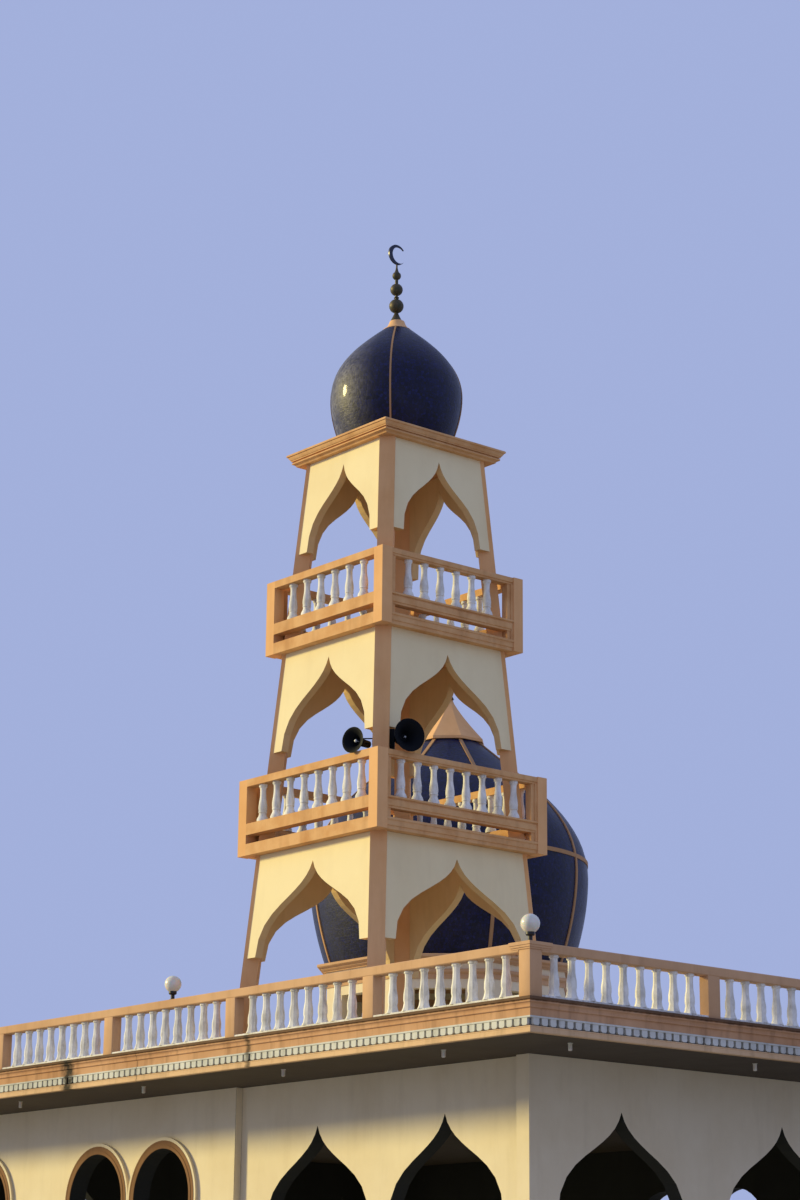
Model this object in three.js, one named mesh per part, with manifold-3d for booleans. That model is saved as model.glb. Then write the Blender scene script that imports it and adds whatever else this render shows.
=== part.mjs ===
// A mosque building: one tall storey under a wide flat roof, a balustrade round the roof, an open
// three-storey minaret that tapers upwards near one corner, and a big dome on an eight-sided drum.
// Millimetres, +Z up. The origin is on the ground in the middle of the plan. The long fronts face
// -Y and +Y, and the short sides face +X and -X. The minaret stands near the +X, -Y corner.

import * as THREE from 'three';
import { mergeVertices } from 'three/addons/utils/BufferGeometryUtils.js';
import Module from 'manifold-3d';

const wasm = await Module();
wasm.setup();

// Driving dimensions

const HAIRLINE = 0.3;
const OVERSHOOT = 50;

const roof = {
  bayX: 3750,
  baysX: 7,
  bayY: 3890,
  baysY: 5,
  post: 250,
  soffit: 6350,
  top: 6890,
};
const halfX = (roof.bayX * roof.baysX + roof.post) / 2;
const halfY = (roof.bayY * roof.baysY + roof.post) / 2;

const hall = {
  halfX: 11100,
  halfY: 7900,
  floor: 300,
  wall: 300,
  setBack: 150,
  returnX: 3220,
};

const ogee = { half: 1450, rise: 1700, peak: 5546 };
const frontOgeeX = [8870, 5450];
const sideOgeeY = [-1.5, -0.5, 0.5, 1.5].map((step) => step * roof.bayY);

const roundHead = { half: 900, spring: 4470, sill: 1300, trim: 200, proud: 60 };
const roundHeadX = [1020, -1180, -5300, -7500];

const parapet = {
  height: 830,
  rail: 150,
  depth: 200,
  post: 270,
  cap: 110,
  capProud: 40,
  capRise: 5,
  kerb: 40,
  kerbSetIn: 15,
};
const longRow = { balusters: 8, pitch: 387 };
const shortRow = { balusters: 9, pitch: 370 };

// A baluster's half widths across its corners, and the heights of its belly and neck as shares.
const vase = { foot: 102, belly: 92, bellyAt: 0.38, neck: 56, neckAt: 0.72, head: 90, embed: 6 };

const tower = {
  x: 7170,
  y: -7550,
  reachAtGround: 3428.6,
  lean: 0.1037,
  pier: 280,
  panel: 150,
  panelSetIn: 65,
  panelTuck: 100,
  leg: 230,
  top: 17400,
};
const storeys = [
  { name: 'low', foot: 8310, peak: 9840, top: 10130 },
  { name: 'middle', foot: 11980, peak: 13510, top: 13800 },
  { name: 'upper', foot: 15670, peak: 17150, top: tower.top },
];

const balconies = [
  { name: 'lower', half: 1934, bottom: 10130, balusters: 8, pitch: 395, sidePitch: 368 },
  { name: 'upper', half: 1642, bottom: 13800, balusters: 6, pitch: 403, sidePitch: 368 },
];
const balcony = {
  slab: 205,
  slabLip: 95,
  slabSetIn: 15,
  slot: 160,
  footRail: 205,
  footSetIn: 20,
  opening: 670,
  topRail: 130,
  post: 220,
  railDepth: 150,
};

const towerCornice = [
  { half: 1300, height: 60 },
  { half: 1370, height: 70 },
  { half: 1434, height: 100 },
];
const towerCorniceTop = tower.top + towerCornice.reduce((sum, step) => sum + step.height, 0);

const smallDome = {
  radius: 1213,
  foot: 950,
  widest: 18680,
  shoulder: 0.66,
  neck: 265,
  neckZ: 20040,
};
const collar = { radius: 265, skirt: 10, waist: 165, head: 118, height: 185 };

const drum = { inradius: 2480, wall: 220, top: 9070, window: 1050, sill: 7350, head: 8880 };
const drumCornice = [
  { inradius: 2500, height: 110 },
  { inradius: 2550, height: 90 },
  { inradius: 2500, height: 130 },
  { inradius: 2610, height: 80 },
  { inradius: 2690, height: 80 },
];
const drumCorniceTop = drum.top + drumCornice.reduce((sum, step) => sum + step.height, 0);
const bigDome = {
  radius: 2990,
  foot: 2600,
  widest: 11550,
  shoulder: 0.6,
  neck: 700,
  neckZ: 14500,
  shell: 150,
};
const domeCap = { radius: 800, skirt: 60, height: 1020, tip: 60, hollow: 1.2 };

const finial = {
  stem: 28,
  foot: 110,
  footHeight: 190,
  balls: [
    { z: 311, radius: 137, neck: 28 },
    { z: 641, radius: 118, neck: 28 },
    { z: 921, radius: 82, neck: 52 },
  ],
  tip: 14,
  height: 1166,
  sunk: 14,
  crescent: 196,
  crescentCut: 162,
  crescentShift: 46,
  crescentThick: 40,
  turn: 90,
};

const lamp = { globe: 150, neck: 35, neckTop: 62, neckHeight: 155, sunk: 4 };

// The two horns hang on the near pier's sides. Each one's back is at "along" and "side" from the
// minaret's axis, along and across the pier's diagonal.
const horns = [
  { name: 'horn_right', mouth: 286, turn: 32, along: 2040, side: 317, z: 11775 },
  { name: 'horn_left', mouth: 226, turn: -32, along: 2117, side: -313, z: 11695 },
];

// Finishes

function finish(colour, roughness, metalness = 0) {
  return new THREE.MeshStandardMaterial({ color: colour, roughness, metalness });
}

const creamPaint = finish(0xe9dcbc, 0.85);
const tanPaint = finish(0xd9a878, 0.8);
const mosaic = finish(0x1b2350, 0.25);
const blackMetal = finish(0x1c1c22, 0.4, 0.6);
const opal = finish(0xf2f0ea, 0.3);
const screed = finish(0xa9a297, 0.9);

// Solids and cuts. Every shape is a closed BufferGeometry, made a solid only to join or cut it.

function solidOf(geometry) {
  const bare = geometry.clone();
  bare.deleteAttribute('normal');
  bare.deleteAttribute('uv');
  const merged = mergeVertices(bare, 1e-3);
  return new wasm.Manifold(new wasm.Mesh({
    numProp: 3,
    vertProperties: new Float32Array(merged.attributes.position.array),
    triVerts: new Uint32Array(merged.index.array),
  }));
}

function geometryOf(solid) {
  const mesh = solid.getMesh();
  const geometry = new THREE.BufferGeometry();
  geometry.setAttribute('position', new THREE.BufferAttribute(mesh.vertProperties, 3));
  geometry.setIndex(new THREE.BufferAttribute(mesh.triVerts, 1));
  return geometry;
}

function union(geometries) {
  return geometryOf(geometries.map(solidOf).reduce((whole, solid) => whole.add(solid)));
}

function cut(geometry, tools) {
  return geometryOf(tools.map(solidOf).reduce((rest, tool) => rest.subtract(tool), solidOf(geometry)));
}

// A box between two corners.
function box(x0, x1, y0, y1, z0, z1) {
  const geometry = new THREE.BoxGeometry(x1 - x0, y1 - y0, z1 - z0);
  geometry.translate((x0 + x1) / 2, (y0 + y1) / 2, (z0 + z1) / 2);
  return geometry;
}

// A square plate round the origin.
function plate(half, z0, z1) {
  return box(-half, half, -half, half, z0, z1);
}

// A solid between a four-cornered foot and a four-cornered head, each given as [x, y] corners that
// run anticlockwise, seen from above.
function hexahedron(foot, z0, head, z1) {
  const positions = [];
  for (const [x, y] of foot) positions.push(x, y, z0);
  for (const [x, y] of head) positions.push(x, y, z1);
  const faces = [0, 2, 1, 0, 3, 2, 4, 5, 6, 4, 6, 7];
  for (let side = 0; side < 4; side += 1) {
    const next = (side + 1) % 4;
    faces.push(side, next, next + 4, side, next + 4, side + 4);
  }
  const geometry = new THREE.BufferGeometry();
  geometry.setAttribute('position', new THREE.Float32BufferAttribute(positions, 3));
  geometry.setIndex(faces);
  return geometry;
}

// A right prism with an even-sided outline round the origin, flat sides facing along the axes.
function evenPrism(sides, inradius, z0, z1) {
  const geometry = new THREE.CylinderGeometry(
    inradius / Math.cos(Math.PI / sides),
    inradius / Math.cos(Math.PI / sides),
    z1 - z0,
    sides,
  );
  geometry.rotateX(Math.PI / 2);
  geometry.rotateZ(Math.PI / sides);
  geometry.translate(0, 0, (z0 + z1) / 2);
  return geometry;
}

// A turned solid from [radius, z] points that start and end on the axis.
function turned(points, segments) {
  const profile = points.map(([radius, z]) => new THREE.Vector2(radius, z));
  const geometry = new THREE.LatheGeometry(profile, segments);
  geometry.rotateX(Math.PI / 2);
  return geometry;
}

// A flat outline in the x, z plane, pushed through along y from -depth / 2 to depth / 2.
function pushed(shape, depth, curveSegments = 5) {
  const geometry = new THREE.ExtrudeGeometry(shape, { depth, bevelEnabled: false, curveSegments });
  geometry.rotateX(Math.PI / 2);
  geometry.translate(0, depth / 2, 0);
  return geometry;
}

function moved(geometry, x, y, z) {
  return geometry.clone().translate(x, y, z);
}

function turnedAbout(geometry, degrees) {
  return geometry.clone().rotateZ(THREE.MathUtils.degToRad(degrees));
}

function named(name, geometry, material, parent) {
  geometry.computeVertexNormals();
  const mesh = new THREE.Mesh(geometry, material);
  mesh.name = name;
  parent.add(mesh);
  return mesh;
}

// Arches

// The outline of an opening with an ogee head: hollow curves up to a sharp peak, full curves below.
// The numbers place the curves' control points as shares of the half width and the rise.
function ogeeOutline(half, rise, peak, bottom) {
  const at = (across, down) => [across * half, peak - down * rise];
  const shape = new THREE.Shape();
  shape.moveTo(half, bottom);
  shape.lineTo(...at(1, 1));
  shape.bezierCurveTo(...at(1, 0.62), ...at(0.66, 0.485), ...at(0.42, 0.36));
  shape.bezierCurveTo(...at(0.2, 0.245), ...at(0.06, 0.16), ...at(0, 0));
  shape.bezierCurveTo(...at(-0.06, 0.16), ...at(-0.2, 0.245), ...at(-0.42, 0.36));
  shape.bezierCurveTo(...at(-0.66, 0.485), ...at(-1, 0.62), ...at(-1, 1));
  shape.lineTo(-half, bottom);
  shape.closePath();
  return shape;
}

// The outline of a window with a half-round head.
function roundOutline(half, spring, bottom) {
  const shape = new THREE.Shape();
  shape.moveTo(-half, bottom);
  shape.lineTo(half, bottom);
  shape.lineTo(half, spring);
  shape.absarc(0, spring, half, 0, Math.PI, false);
  shape.closePath();
  return shape;
}

// Hall

// A wall along x with its outer face at y = 0 and its inner face at y = thickness.
function wallAlongX(x0, x1) {
  return box(x0, x1, 0, hall.wall, hall.floor + HAIRLINE, roof.soffit - HAIRLINE);
}

function ogeeHole(x) {
  const outline = ogeeOutline(ogee.half, ogee.rise, ogee.peak, hall.floor - OVERSHOOT);
  return moved(pushed(outline, hall.wall * 3), x, 0, 0);
}

function ogeeWall(x0, x1, centres) {
  return cut(wallAlongX(x0, x1), centres.map(ogeeHole));
}

// A wall whose round-headed windows each have a raised band round them.
function roundHeadWall(x0, x1, centres) {
  const outerHalf = roundHead.half + roundHead.trim;
  const band = roundOutline(outerHalf, roundHead.spring, roundHead.sill - roundHead.trim);
  const hole = roundOutline(roundHead.half, roundHead.spring, roundHead.sill);
  const bands = centres.map((x) => moved(pushed(band, roundHead.proud * 2, 8), x, 0, 0));
  const holes = centres.map((x) => moved(pushed(hole, hall.wall * 3, 8), x, 0, 0));
  return cut(union([wallAlongX(x0, x1), ...bands]), holes);
}

function buildHall(building) {
  const floor = box(-hall.halfX, hall.halfX, -hall.halfY, hall.halfY, 0, hall.floor);
  named('hall_floor', floor, screed, building);

  // The back repeats the front. It is made the other way round along x, and turned to face +Y.
  const innerX = hall.halfX - hall.wall - HAIRLINE;
  const gap = HAIRLINE / 2;
  for (const [side, sign, angle] of [['front', 1, 0], ['back', -1, 180]]) {
    const span = (x0, x1) => [sign * x0, sign * x1].sort((a, b) => a - b);
    const place = (centres) => centres.map((x) => sign * x);
    const east = ogeeWall(...span(hall.returnX + gap, innerX), place(frontOgeeX));
    const west = roundHeadWall(...span(-innerX, hall.returnX - gap), place(roundHeadX));
    const walls = [
      ['east', moved(east, 0, hall.setBack - hall.halfY, 0)],
      ['west', moved(west, 0, -hall.halfY, 0)],
    ];
    for (const [end, wall] of walls) {
      const mesh = named(`${side}_wall_${end}`, wall, creamPaint, building);
      mesh.rotation.z = THREE.MathUtils.degToRad(angle);
    }
  }

  const sideWall = ogeeWall(-hall.halfY, hall.halfY, sideOgeeY);
  for (const [name, angle] of [['right_wall', 90], ['left_wall', -90]]) {
    const mesh = named(name, moved(sideWall, 0, -hall.halfX, 0), creamPaint, building);
    mesh.rotation.z = THREE.MathUtils.degToRad(angle);
  }
}

// Roof slab and its moulded edge

// Each step of the edge from the soffit up: its height and how far it stands past the parapet face.
const roofSteps = [
  { height: 100, out: 15 },
  { height: 120, out: -45 },
  { height: 30, out: 15 },
  { height: 120, out: 0 },
  { height: 80, out: 25 },
  { height: 90, out: 60 },
];

function buildRoof(building) {
  let z = roof.soffit;
  const layers = roofSteps.map(({ height, out }) => {
    const layer = box(-halfX - out, halfX + out, -halfY - out, halfY + out, z, z + height);
    z += height;
    return layer;
  });
  named('roof_slab', union(layers), creamPaint, building);
}

// Balustrades

// One baluster: a plain four-sided vase between two rails.
function baluster(x, y, z0, height) {
  const points = [
    [0, -vase.embed],
    [vase.foot, -vase.embed],
    [vase.belly, height * vase.bellyAt],
    [vase.neck, height * vase.neckAt],
    [vase.head, height + vase.embed],
    [0, height + vase.embed],
  ];
  return moved(turnedAbout(turned(points, 4), 45), x, y, z0);
}

// A row of balusters at an even pitch, centred on x.
function balusterRow(balusters, pitch, x, y, z0, height) {
  const first = x - (pitch * (balusters - 1)) / 2;
  const row = [];
  for (let i = 0; i < balusters; i += 1) row.push(baluster(first + pitch * i, y, z0, height));
  return row;
}

// A run of roof balustrade along x with its outer face at y = 0, posts at equal bays, and the
// corner posts with their caps only where it carries the corners.
function parapetRun(bays, bay, { balusters, pitch }, withCorners) {
  const z0 = roof.top + HAIRLINE;
  const kerbZ = z0 + parapet.kerb;
  const railZ = roof.top + parapet.height - parapet.rail;
  const top = roof.top + parapet.height;
  const half = (bays * bay + roof.post) / 2;
  const end = withCorners ? half : half - roof.post - HAIRLINE;
  const solids = [
    box(-end, end, 0, parapet.depth, railZ, top),
    box(-end, end, parapet.kerbSetIn, parapet.depth - parapet.kerbSetIn, z0, kerbZ),
  ];
  const centres = [];
  for (let i = 0; i <= bays; i += 1) centres.push(-half + roof.post / 2 + i * bay);
  for (let i = 1; i < bays; i += 1) {
    const x = centres[i];
    solids.push(box(x - parapet.post / 2, x + parapet.post / 2, 0, parapet.depth, z0, top));
  }
  if (withCorners) {
    const out = parapet.capProud;
    const inward = roof.post + out;
    const capZ = top - parapet.cap;
    const capTop = top + parapet.capRise;
    solids.push(box(-half, -half + roof.post, 0, roof.post, z0, top));
    solids.push(box(half - roof.post, half, 0, roof.post, z0, top));
    solids.push(box(-half - out, -half + inward, -out, inward, capZ, capTop));
    solids.push(box(half - inward, half + out, -out, inward, capZ, capTop));
  }
  for (let i = 0; i < bays; i += 1) {
    const x = centres[i] + bay / 2;
    solids.push(...balusterRow(balusters, pitch, x, parapet.depth / 2, kerbZ, railZ - kerbZ));
  }
  return union(solids);
}

// The corner posts' caps reach past the posts, so the side runs are cut back under them.
function capRelief() {
  const inward = roof.post + parapet.capProud + HAIRLINE;
  const z0 = roof.top + parapet.height - parapet.cap - HAIRLINE;
  const z1 = z0 + parapet.height;
  return [
    box(-halfY, -halfY + inward, -OVERSHOOT, inward, z0, z1),
    box(halfY - inward, halfY, -OVERSHOOT, inward, z0, z1),
  ];
}

function buildParapets(building) {
  const long = parapetRun(roof.baysX, roof.bayX, longRow, true);
  const short = cut(parapetRun(roof.baysY, roof.bayY, shortRow, false), capRelief());
  const runs = [
    ['parapet_front', long, 0, halfY],
    ['parapet_right', short, 90, halfX],
    ['parapet_back', long, 180, halfY],
    ['parapet_left', short, -90, halfX],
  ];
  for (const [name, run, angle, reach] of runs) {
    const mesh = named(name, moved(run, 0, -reach, 0), tanPaint, building);
    mesh.rotation.z = THREE.MathUtils.degToRad(angle);
  }
}

// Lamps: a globe on a flared neck

function buildLamp(name, x, y, z, building) {
  const top = lamp.neckHeight;
  const neck = turned([
    [0, 0],
    [lamp.neck, 0],
    [lamp.neck, top * 0.4],
    [lamp.neckTop, top * 0.75],
    [lamp.neckTop, top],
    [0, top],
  ], 12);
  const centre = top + Math.sqrt(lamp.globe ** 2 - lamp.neckTop ** 2) - lamp.sunk;
  const ball = new THREE.SphereGeometry(lamp.globe, 16, 10);
  ball.rotateX(Math.PI / 2);
  const globe = moved(ball, 0, 0, centre);
  const mesh = named(name, union([neck, globe]), opal, building);
  mesh.position.set(x, y, z);
}

function buildLamps(building) {
  const railTop = roof.top + parapet.height;
  const cornerX = halfX - roof.post / 2;
  const cornerY = halfY - roof.post / 2;
  const onCap = railTop + parapet.capRise + HAIRLINE;
  buildLamp('corner_lamp_front_right', cornerX, -cornerY, onCap, building);
  buildLamp('corner_lamp_front_left', -cornerX, -cornerY, onCap, building);
  buildLamp('corner_lamp_back_right', cornerX, cornerY, onCap, building);
  buildLamp('corner_lamp_back_left', -cornerX, cornerY, onCap, building);
  const onRail = railTop + HAIRLINE;
  const midRail = -halfY + parapet.depth / 2;
  buildLamp('rail_lamp_right', roof.bayX, midRail, onRail, building);
  buildLamp('rail_lamp_left', -roof.bayX, midRail, onRail, building);
}

// Minaret

// How far the outward face of a pier stands from the minaret's axis, along the diagonal.
function reach(z) {
  return tower.reachAtGround - tower.lean * z;
}

// The four corners of a pier's section at one height. Its faces run along and across the diagonal.
function pierSection(z, grown) {
  const far = reach(z) + grown;
  const near = reach(z) - tower.pier - grown;
  const side = tower.pier / 2 + grown;
  return [[near, -side], [far, -side], [far, side], [near, side]];
}

function pier(z0, z1, grown = 0) {
  return hexahedron(pierSection(z0, grown), z0, pierSection(z1, grown), z1);
}

const pierAngles = [-45, 45, 135, 225];
const pierNames = ['near', 'right', 'far', 'left'];

function pierTools(z0, z1) {
  return pierAngles.map((angle) => turnedAbout(pier(z0 - OVERSHOOT, z1 + OVERSHOOT, HAIRLINE), angle));
}

// One face of one storey: a plate with an ogee opening between two piers. It faces -Y.
function towerPanel(storey) {
  const outer = (z) => (reach(z) + tower.pier / 2 - tower.panelSetIn) / Math.SQRT2;
  const side = (z) => (reach(z) - tower.panelTuck) / Math.SQRT2;
  const z0 = storey.foot;
  const z1 = storey.top - HAIRLINE;
  const section = (z) => [
    [-side(z), -outer(z)],
    [side(z), -outer(z)],
    [side(z), -outer(z) + tower.panel],
    [-side(z), -outer(z) + tower.panel],
  ];
  const body = hexahedron(section(z0), z0, section(z1), z1);
  const between = (reach(z0) - tower.pier / 2 - tower.panelSetIn) / Math.SQRT2;
  const rise = storey.peak - z0;
  const outline = ogeeOutline(between - tower.leg, rise, storey.peak, z0 - OVERSHOOT);
  const hole = moved(pushed(outline, tower.panel * 6), 0, -outer(z0), 0);
  return cut(body, [hole, ...pierTools(z0, z1)]);
}

function balconySlab(level) {
  const { half, bottom } = level;
  const lower = plate(half - balcony.slabSetIn, bottom, bottom + balcony.slabLip);
  const upper = plate(half, bottom + balcony.slabLip, bottom + balcony.slab);
  return cut(union([lower, upper]), pierTools(bottom, bottom + balcony.slab));
}

// One side of a balcony's rails, facing -Y. The front and the back carry the corner posts, and the
// other two sides fit between them.
function balconySide(level, withPosts) {
  const { half, bottom, balusters } = level;
  const pitch = withPosts ? level.pitch : level.sidePitch;
  const z0 = bottom + balcony.slab + HAIRLINE;
  const footZ = bottom + balcony.slab + balcony.slot;
  const openZ = footZ + balcony.footRail;
  const railZ = openZ + balcony.opening;
  const top = railZ + balcony.topRail;
  const inner = half - balcony.post;
  const end = withPosts ? half : inner - HAIRLINE;
  const back = -half + balcony.railDepth;
  const solids = [
    box(-end, end, -half, back, railZ, top),
    box(-end, end, -half + balcony.footSetIn, back, footZ, openZ),
    ...balusterRow(balusters, pitch, 0, (back - half) / 2, openZ, balcony.opening),
  ];
  if (withPosts) {
    solids.push(box(-half, -inner, -half, -inner, z0, top));
    solids.push(box(inner, half, -half, -inner, z0, top));
  }
  return union(solids);
}

function squareCornice(steps, z0) {
  let z = z0;
  return union(steps.map((step) => {
    const layer = plate(step.half, z, z + step.height);
    z += step.height;
    return layer;
  }));
}

// A dome's outline from its foot to its neck, as [radius, z] points.
function domeOutline(dome, footZ, inset, steps) {
  const swell = dome.widest - footZ;
  const rise = dome.neckZ - inset - dome.widest;
  const at = (radius, z) => new THREE.Vector2(radius - inset, z);
  const low = new THREE.CubicBezierCurve(
    at(dome.foot, footZ),
    at(dome.foot + (dome.radius - dome.foot) * 0.6, footZ + swell * 0.33),
    at(dome.radius, footZ + swell * 0.67),
    at(dome.radius, dome.widest),
  );
  const high = new THREE.CubicBezierCurve(
    at(dome.radius, dome.widest),
    at(dome.radius, dome.widest + rise * 0.42),
    at(dome.radius * dome.shoulder, dome.widest + rise * 0.68),
    at(dome.neck, dome.neckZ - inset),
  );
  const points = [...low.getPoints(steps).slice(0, -1), ...high.getPoints(steps + 2)];
  return points.map((point) => [point.x, point.y]);
}

function buildSmallDome(group) {
  const footZ = towerCorniceTop + HAIRLINE;
  const outline = domeOutline(smallDome, footZ, 0, 6);
  const dome = turned([[0, footZ], ...outline, [0, smallDome.neckZ]], 32);
  named('tower_dome', dome, mosaic, group);

  const z0 = smallDome.neckZ + HAIRLINE;
  const ring = turned([
    [0, z0],
    [collar.radius, z0],
    [collar.radius, z0 + collar.skirt],
    [collar.waist, z0 + collar.height * 0.5],
    [collar.head, z0 + collar.height],
    [0, z0 + collar.height],
  ], 20);
  named('tower_dome_collar', ring, tanPaint, group);
}

// A stem with three balls, and a spike on the last of them that carries a crescent.
function finialSolid() {
  const points = [[0, 0], [finial.foot, 0], [finial.stem, finial.footHeight]];
  for (const { z, radius, neck } of finial.balls) {
    const start = Math.asin(finial.stem / radius);
    const end = Math.PI - Math.asin(neck / radius);
    for (let i = 0; i <= 6; i += 1) {
      const angle = start + ((end - start) * i) / 6;
      points.push([radius * Math.sin(angle), z - radius * Math.cos(angle)]);
    }
  }
  points.push([finial.tip, finial.height], [0, finial.height]);
  const stem = turned(points, 12);
  const centre = finial.height + finial.crescent - finial.sunk;
  const disc = new THREE.CylinderGeometry(finial.crescent, finial.crescent, finial.crescentThick, 24);
  const bite = new THREE.CylinderGeometry(finial.crescentCut, finial.crescentCut, OVERSHOOT * 4, 24);
  const moon = cut(disc, [moved(bite, finial.crescentShift, 0, 0)]);
  return union([stem, moved(moon, 0, 0, centre)]);
}

// The bell of a horn loudspeaker with its back at the origin and its mouth facing +X.
function hornBell(mouth) {
  const length = mouth * 1.25;
  const bell = turned([
    [0, 0],
    [mouth * 0.3, 0],
    [mouth * 0.34, mouth * 0.45],
    [mouth * 0.42, mouth * 0.6],
    [mouth * 0.66, length * 0.8],
    [mouth, length],
    [mouth * 0.93, length],
    [mouth * 0.6, length * 0.84],
    [mouth * 0.2, mouth * 0.62],
    [0, mouth * 0.6],
  ], 18);
  return bell.rotateY(Math.PI / 2);
}

function buildHorns(group) {
  const pierFrame = new THREE.Group();
  pierFrame.rotation.z = THREE.MathUtils.degToRad(pierAngles[0]);
  group.add(pierFrame);
  const arm = 35;
  for (const { name, mouth, turn, along, side, z } of horns) {
    const toPier = Math.sign(side) * (tower.pier / 2 + HAIRLINE) - side;
    const bracket = box(-arm, arm, Math.min(0, toPier), Math.max(0, toPier), -arm, arm);
    const horn = union([turnedAbout(hornBell(mouth), turn), bracket]);
    const mesh = named(name, horn, blackMetal, pierFrame);
    mesh.position.set(along, side, z);
  }
}

function buildTower(building) {
  const group = new THREE.Group();
  group.position.set(tower.x, tower.y, 0);
  building.add(group);

  const shaft = pier(roof.top + HAIRLINE, tower.top - HAIRLINE);
  pierAngles.forEach((angle, i) => {
    const mesh = named(`tower_pier_${pierNames[i]}`, shaft, tanPaint, group);
    mesh.rotation.z = THREE.MathUtils.degToRad(angle);
  });

  const sides = [['front', 0], ['right', 90], ['back', 180], ['left', 270]];
  for (const storey of storeys) {
    const panel = towerPanel(storey);
    for (const [side, angle] of sides) {
      const mesh = named(`${storey.name}_panel_${side}`, panel, creamPaint, group);
      mesh.rotation.z = THREE.MathUtils.degToRad(angle);
    }
  }

  for (const level of balconies) {
    named(`${level.name}_balcony_slab`, balconySlab(level), tanPaint, group);
    for (const [side, angle] of sides) {
      const rails = balconySide(level, angle % 180 === 0);
      const mesh = named(`${level.name}_balcony_${side}`, rails, tanPaint, group);
      mesh.rotation.z = THREE.MathUtils.degToRad(angle);
    }
  }

  named('tower_cornice', squareCornice(towerCornice, tower.top), tanPaint, group);
  buildSmallDome(group);

  const top = named('tower_finial', finialSolid(), blackMetal, group);
  top.position.z = smallDome.neckZ + collar.height + 2 * HAIRLINE;
  top.rotation.z = THREE.MathUtils.degToRad(finial.turn);
  buildHorns(group);
}

// Drum and big dome

function buildDrum(building) {
  const z0 = roof.top + HAIRLINE;
  const z1 = drum.top;
  const shell = evenPrism(8, drum.inradius, z0, z1);
  const inside = evenPrism(8, drum.inradius - drum.wall, z0 - OVERSHOOT, z1 + OVERSHOOT);
  const h = drum.window / 2;
  const hole = box(-h, h, -drum.inradius - OVERSHOOT, 0, drum.sill, drum.head);
  const holes = [inside];
  for (let i = 0; i < 8; i += 1) holes.push(turnedAbout(hole, i * 45));
  named('drum_wall', cut(shell, holes), creamPaint, building);

  let z = drum.top + HAIRLINE;
  const layers = drumCornice.map((step, i) => {
    const next = z + step.height - (i === 0 ? HAIRLINE : 0);
    const layer = evenPrism(8, step.inradius, z, next);
    z = next;
    return layer;
  });
  const well = evenPrism(8, drum.inradius - drum.wall, drum.top - OVERSHOOT, drumCorniceTop + OVERSHOOT);
  named('drum_cornice', cut(union(layers), [well]), tanPaint, building);
}

// The cap on the big dome: eight hollow-curved sides that sweep up to a point.
function capSolid(z0) {
  const sides = 8;
  const rows = [[domeCap.radius, 0], [domeCap.radius, domeCap.skirt]];
  const steps = 5;
  for (let i = 1; i <= steps; i += 1) {
    const t = i / steps;
    const radius = domeCap.radius * (1 - t) ** domeCap.hollow + domeCap.tip * t;
    rows.push([radius, domeCap.skirt + (domeCap.height - domeCap.skirt) * t]);
  }
  const points = [[0, z0], ...rows.map(([radius, z]) => [radius, z0 + z]), [0, z0 + domeCap.height]];
  const geometry = turned(points, sides);
  geometry.rotateZ(Math.PI / sides);
  return geometry;
}

function buildBigDome(building) {
  const footZ = drumCorniceTop + HAIRLINE;
  const outer = domeOutline(bigDome, footZ, 0, 6);
  const inner = domeOutline(bigDome, footZ, bigDome.shell, 4).reverse();
  const profile = [[0, bigDome.neckZ - bigDome.shell], ...inner, ...outer, [0, bigDome.neckZ]];
  named('big_dome', turned(profile, 40), mosaic, building);

  const capZ = bigDome.neckZ + HAIRLINE;
  named('dome_cap', capSolid(capZ), tanPaint, building);
  const top = named('dome_finial', finialSolid(), blackMetal, building);
  top.position.z = capZ + domeCap.height + HAIRLINE;
  top.rotation.z = THREE.MathUtils.degToRad(finial.turn);
}

const mosque = new THREE.Group();
buildHall(mosque);
buildRoof(mosque);
buildParapets(mosque);
buildLamps(mosque);
buildTower(mosque);
buildDrum(mosque);
buildBigDome(mosque);

export default mosque;
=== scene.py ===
"""A mosque building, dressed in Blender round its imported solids.

Everything is in metres, +Z up, with the origin on the ground in the middle of the plan. The long
fronts face -Y and +Y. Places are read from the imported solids, and sizes that the solids don't give
are fields of the class that uses them.
"""

from __future__ import annotations

import logging
import math
from collections.abc import Iterable, Mapping, Sequence
from dataclasses import dataclass
from enum import Enum
from typing import NamedTuple

import bmesh
import bpy
from mathutils import Matrix, Vector
from mathutils.geometry import interpolate_bezier


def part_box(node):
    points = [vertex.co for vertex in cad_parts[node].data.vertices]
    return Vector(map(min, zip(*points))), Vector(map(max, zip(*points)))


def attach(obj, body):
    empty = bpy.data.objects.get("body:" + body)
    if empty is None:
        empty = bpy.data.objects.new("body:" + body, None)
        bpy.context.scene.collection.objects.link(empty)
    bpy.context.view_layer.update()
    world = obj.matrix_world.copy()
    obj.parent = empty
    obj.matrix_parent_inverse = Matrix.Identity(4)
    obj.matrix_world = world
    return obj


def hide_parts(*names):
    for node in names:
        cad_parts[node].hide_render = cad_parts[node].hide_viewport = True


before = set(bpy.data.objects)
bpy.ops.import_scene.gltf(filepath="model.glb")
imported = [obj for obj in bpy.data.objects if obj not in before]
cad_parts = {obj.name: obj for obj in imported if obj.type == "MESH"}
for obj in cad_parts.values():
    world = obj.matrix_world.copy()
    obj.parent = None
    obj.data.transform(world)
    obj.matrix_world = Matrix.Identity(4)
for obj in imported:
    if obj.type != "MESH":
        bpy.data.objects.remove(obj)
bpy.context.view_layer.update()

LOG = logging.getLogger("mosque")
ROOT_BODY = "root"
FULL_TURN = 2.0 * math.pi
QUARTER = math.pi / 4.0
ROOT_TWO = math.sqrt(2.0)
WELD = 1e-5
# How deep the zone at the front of the roof's edge is that the drips stain.
FRONT_DEPTH = 0.5

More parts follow.
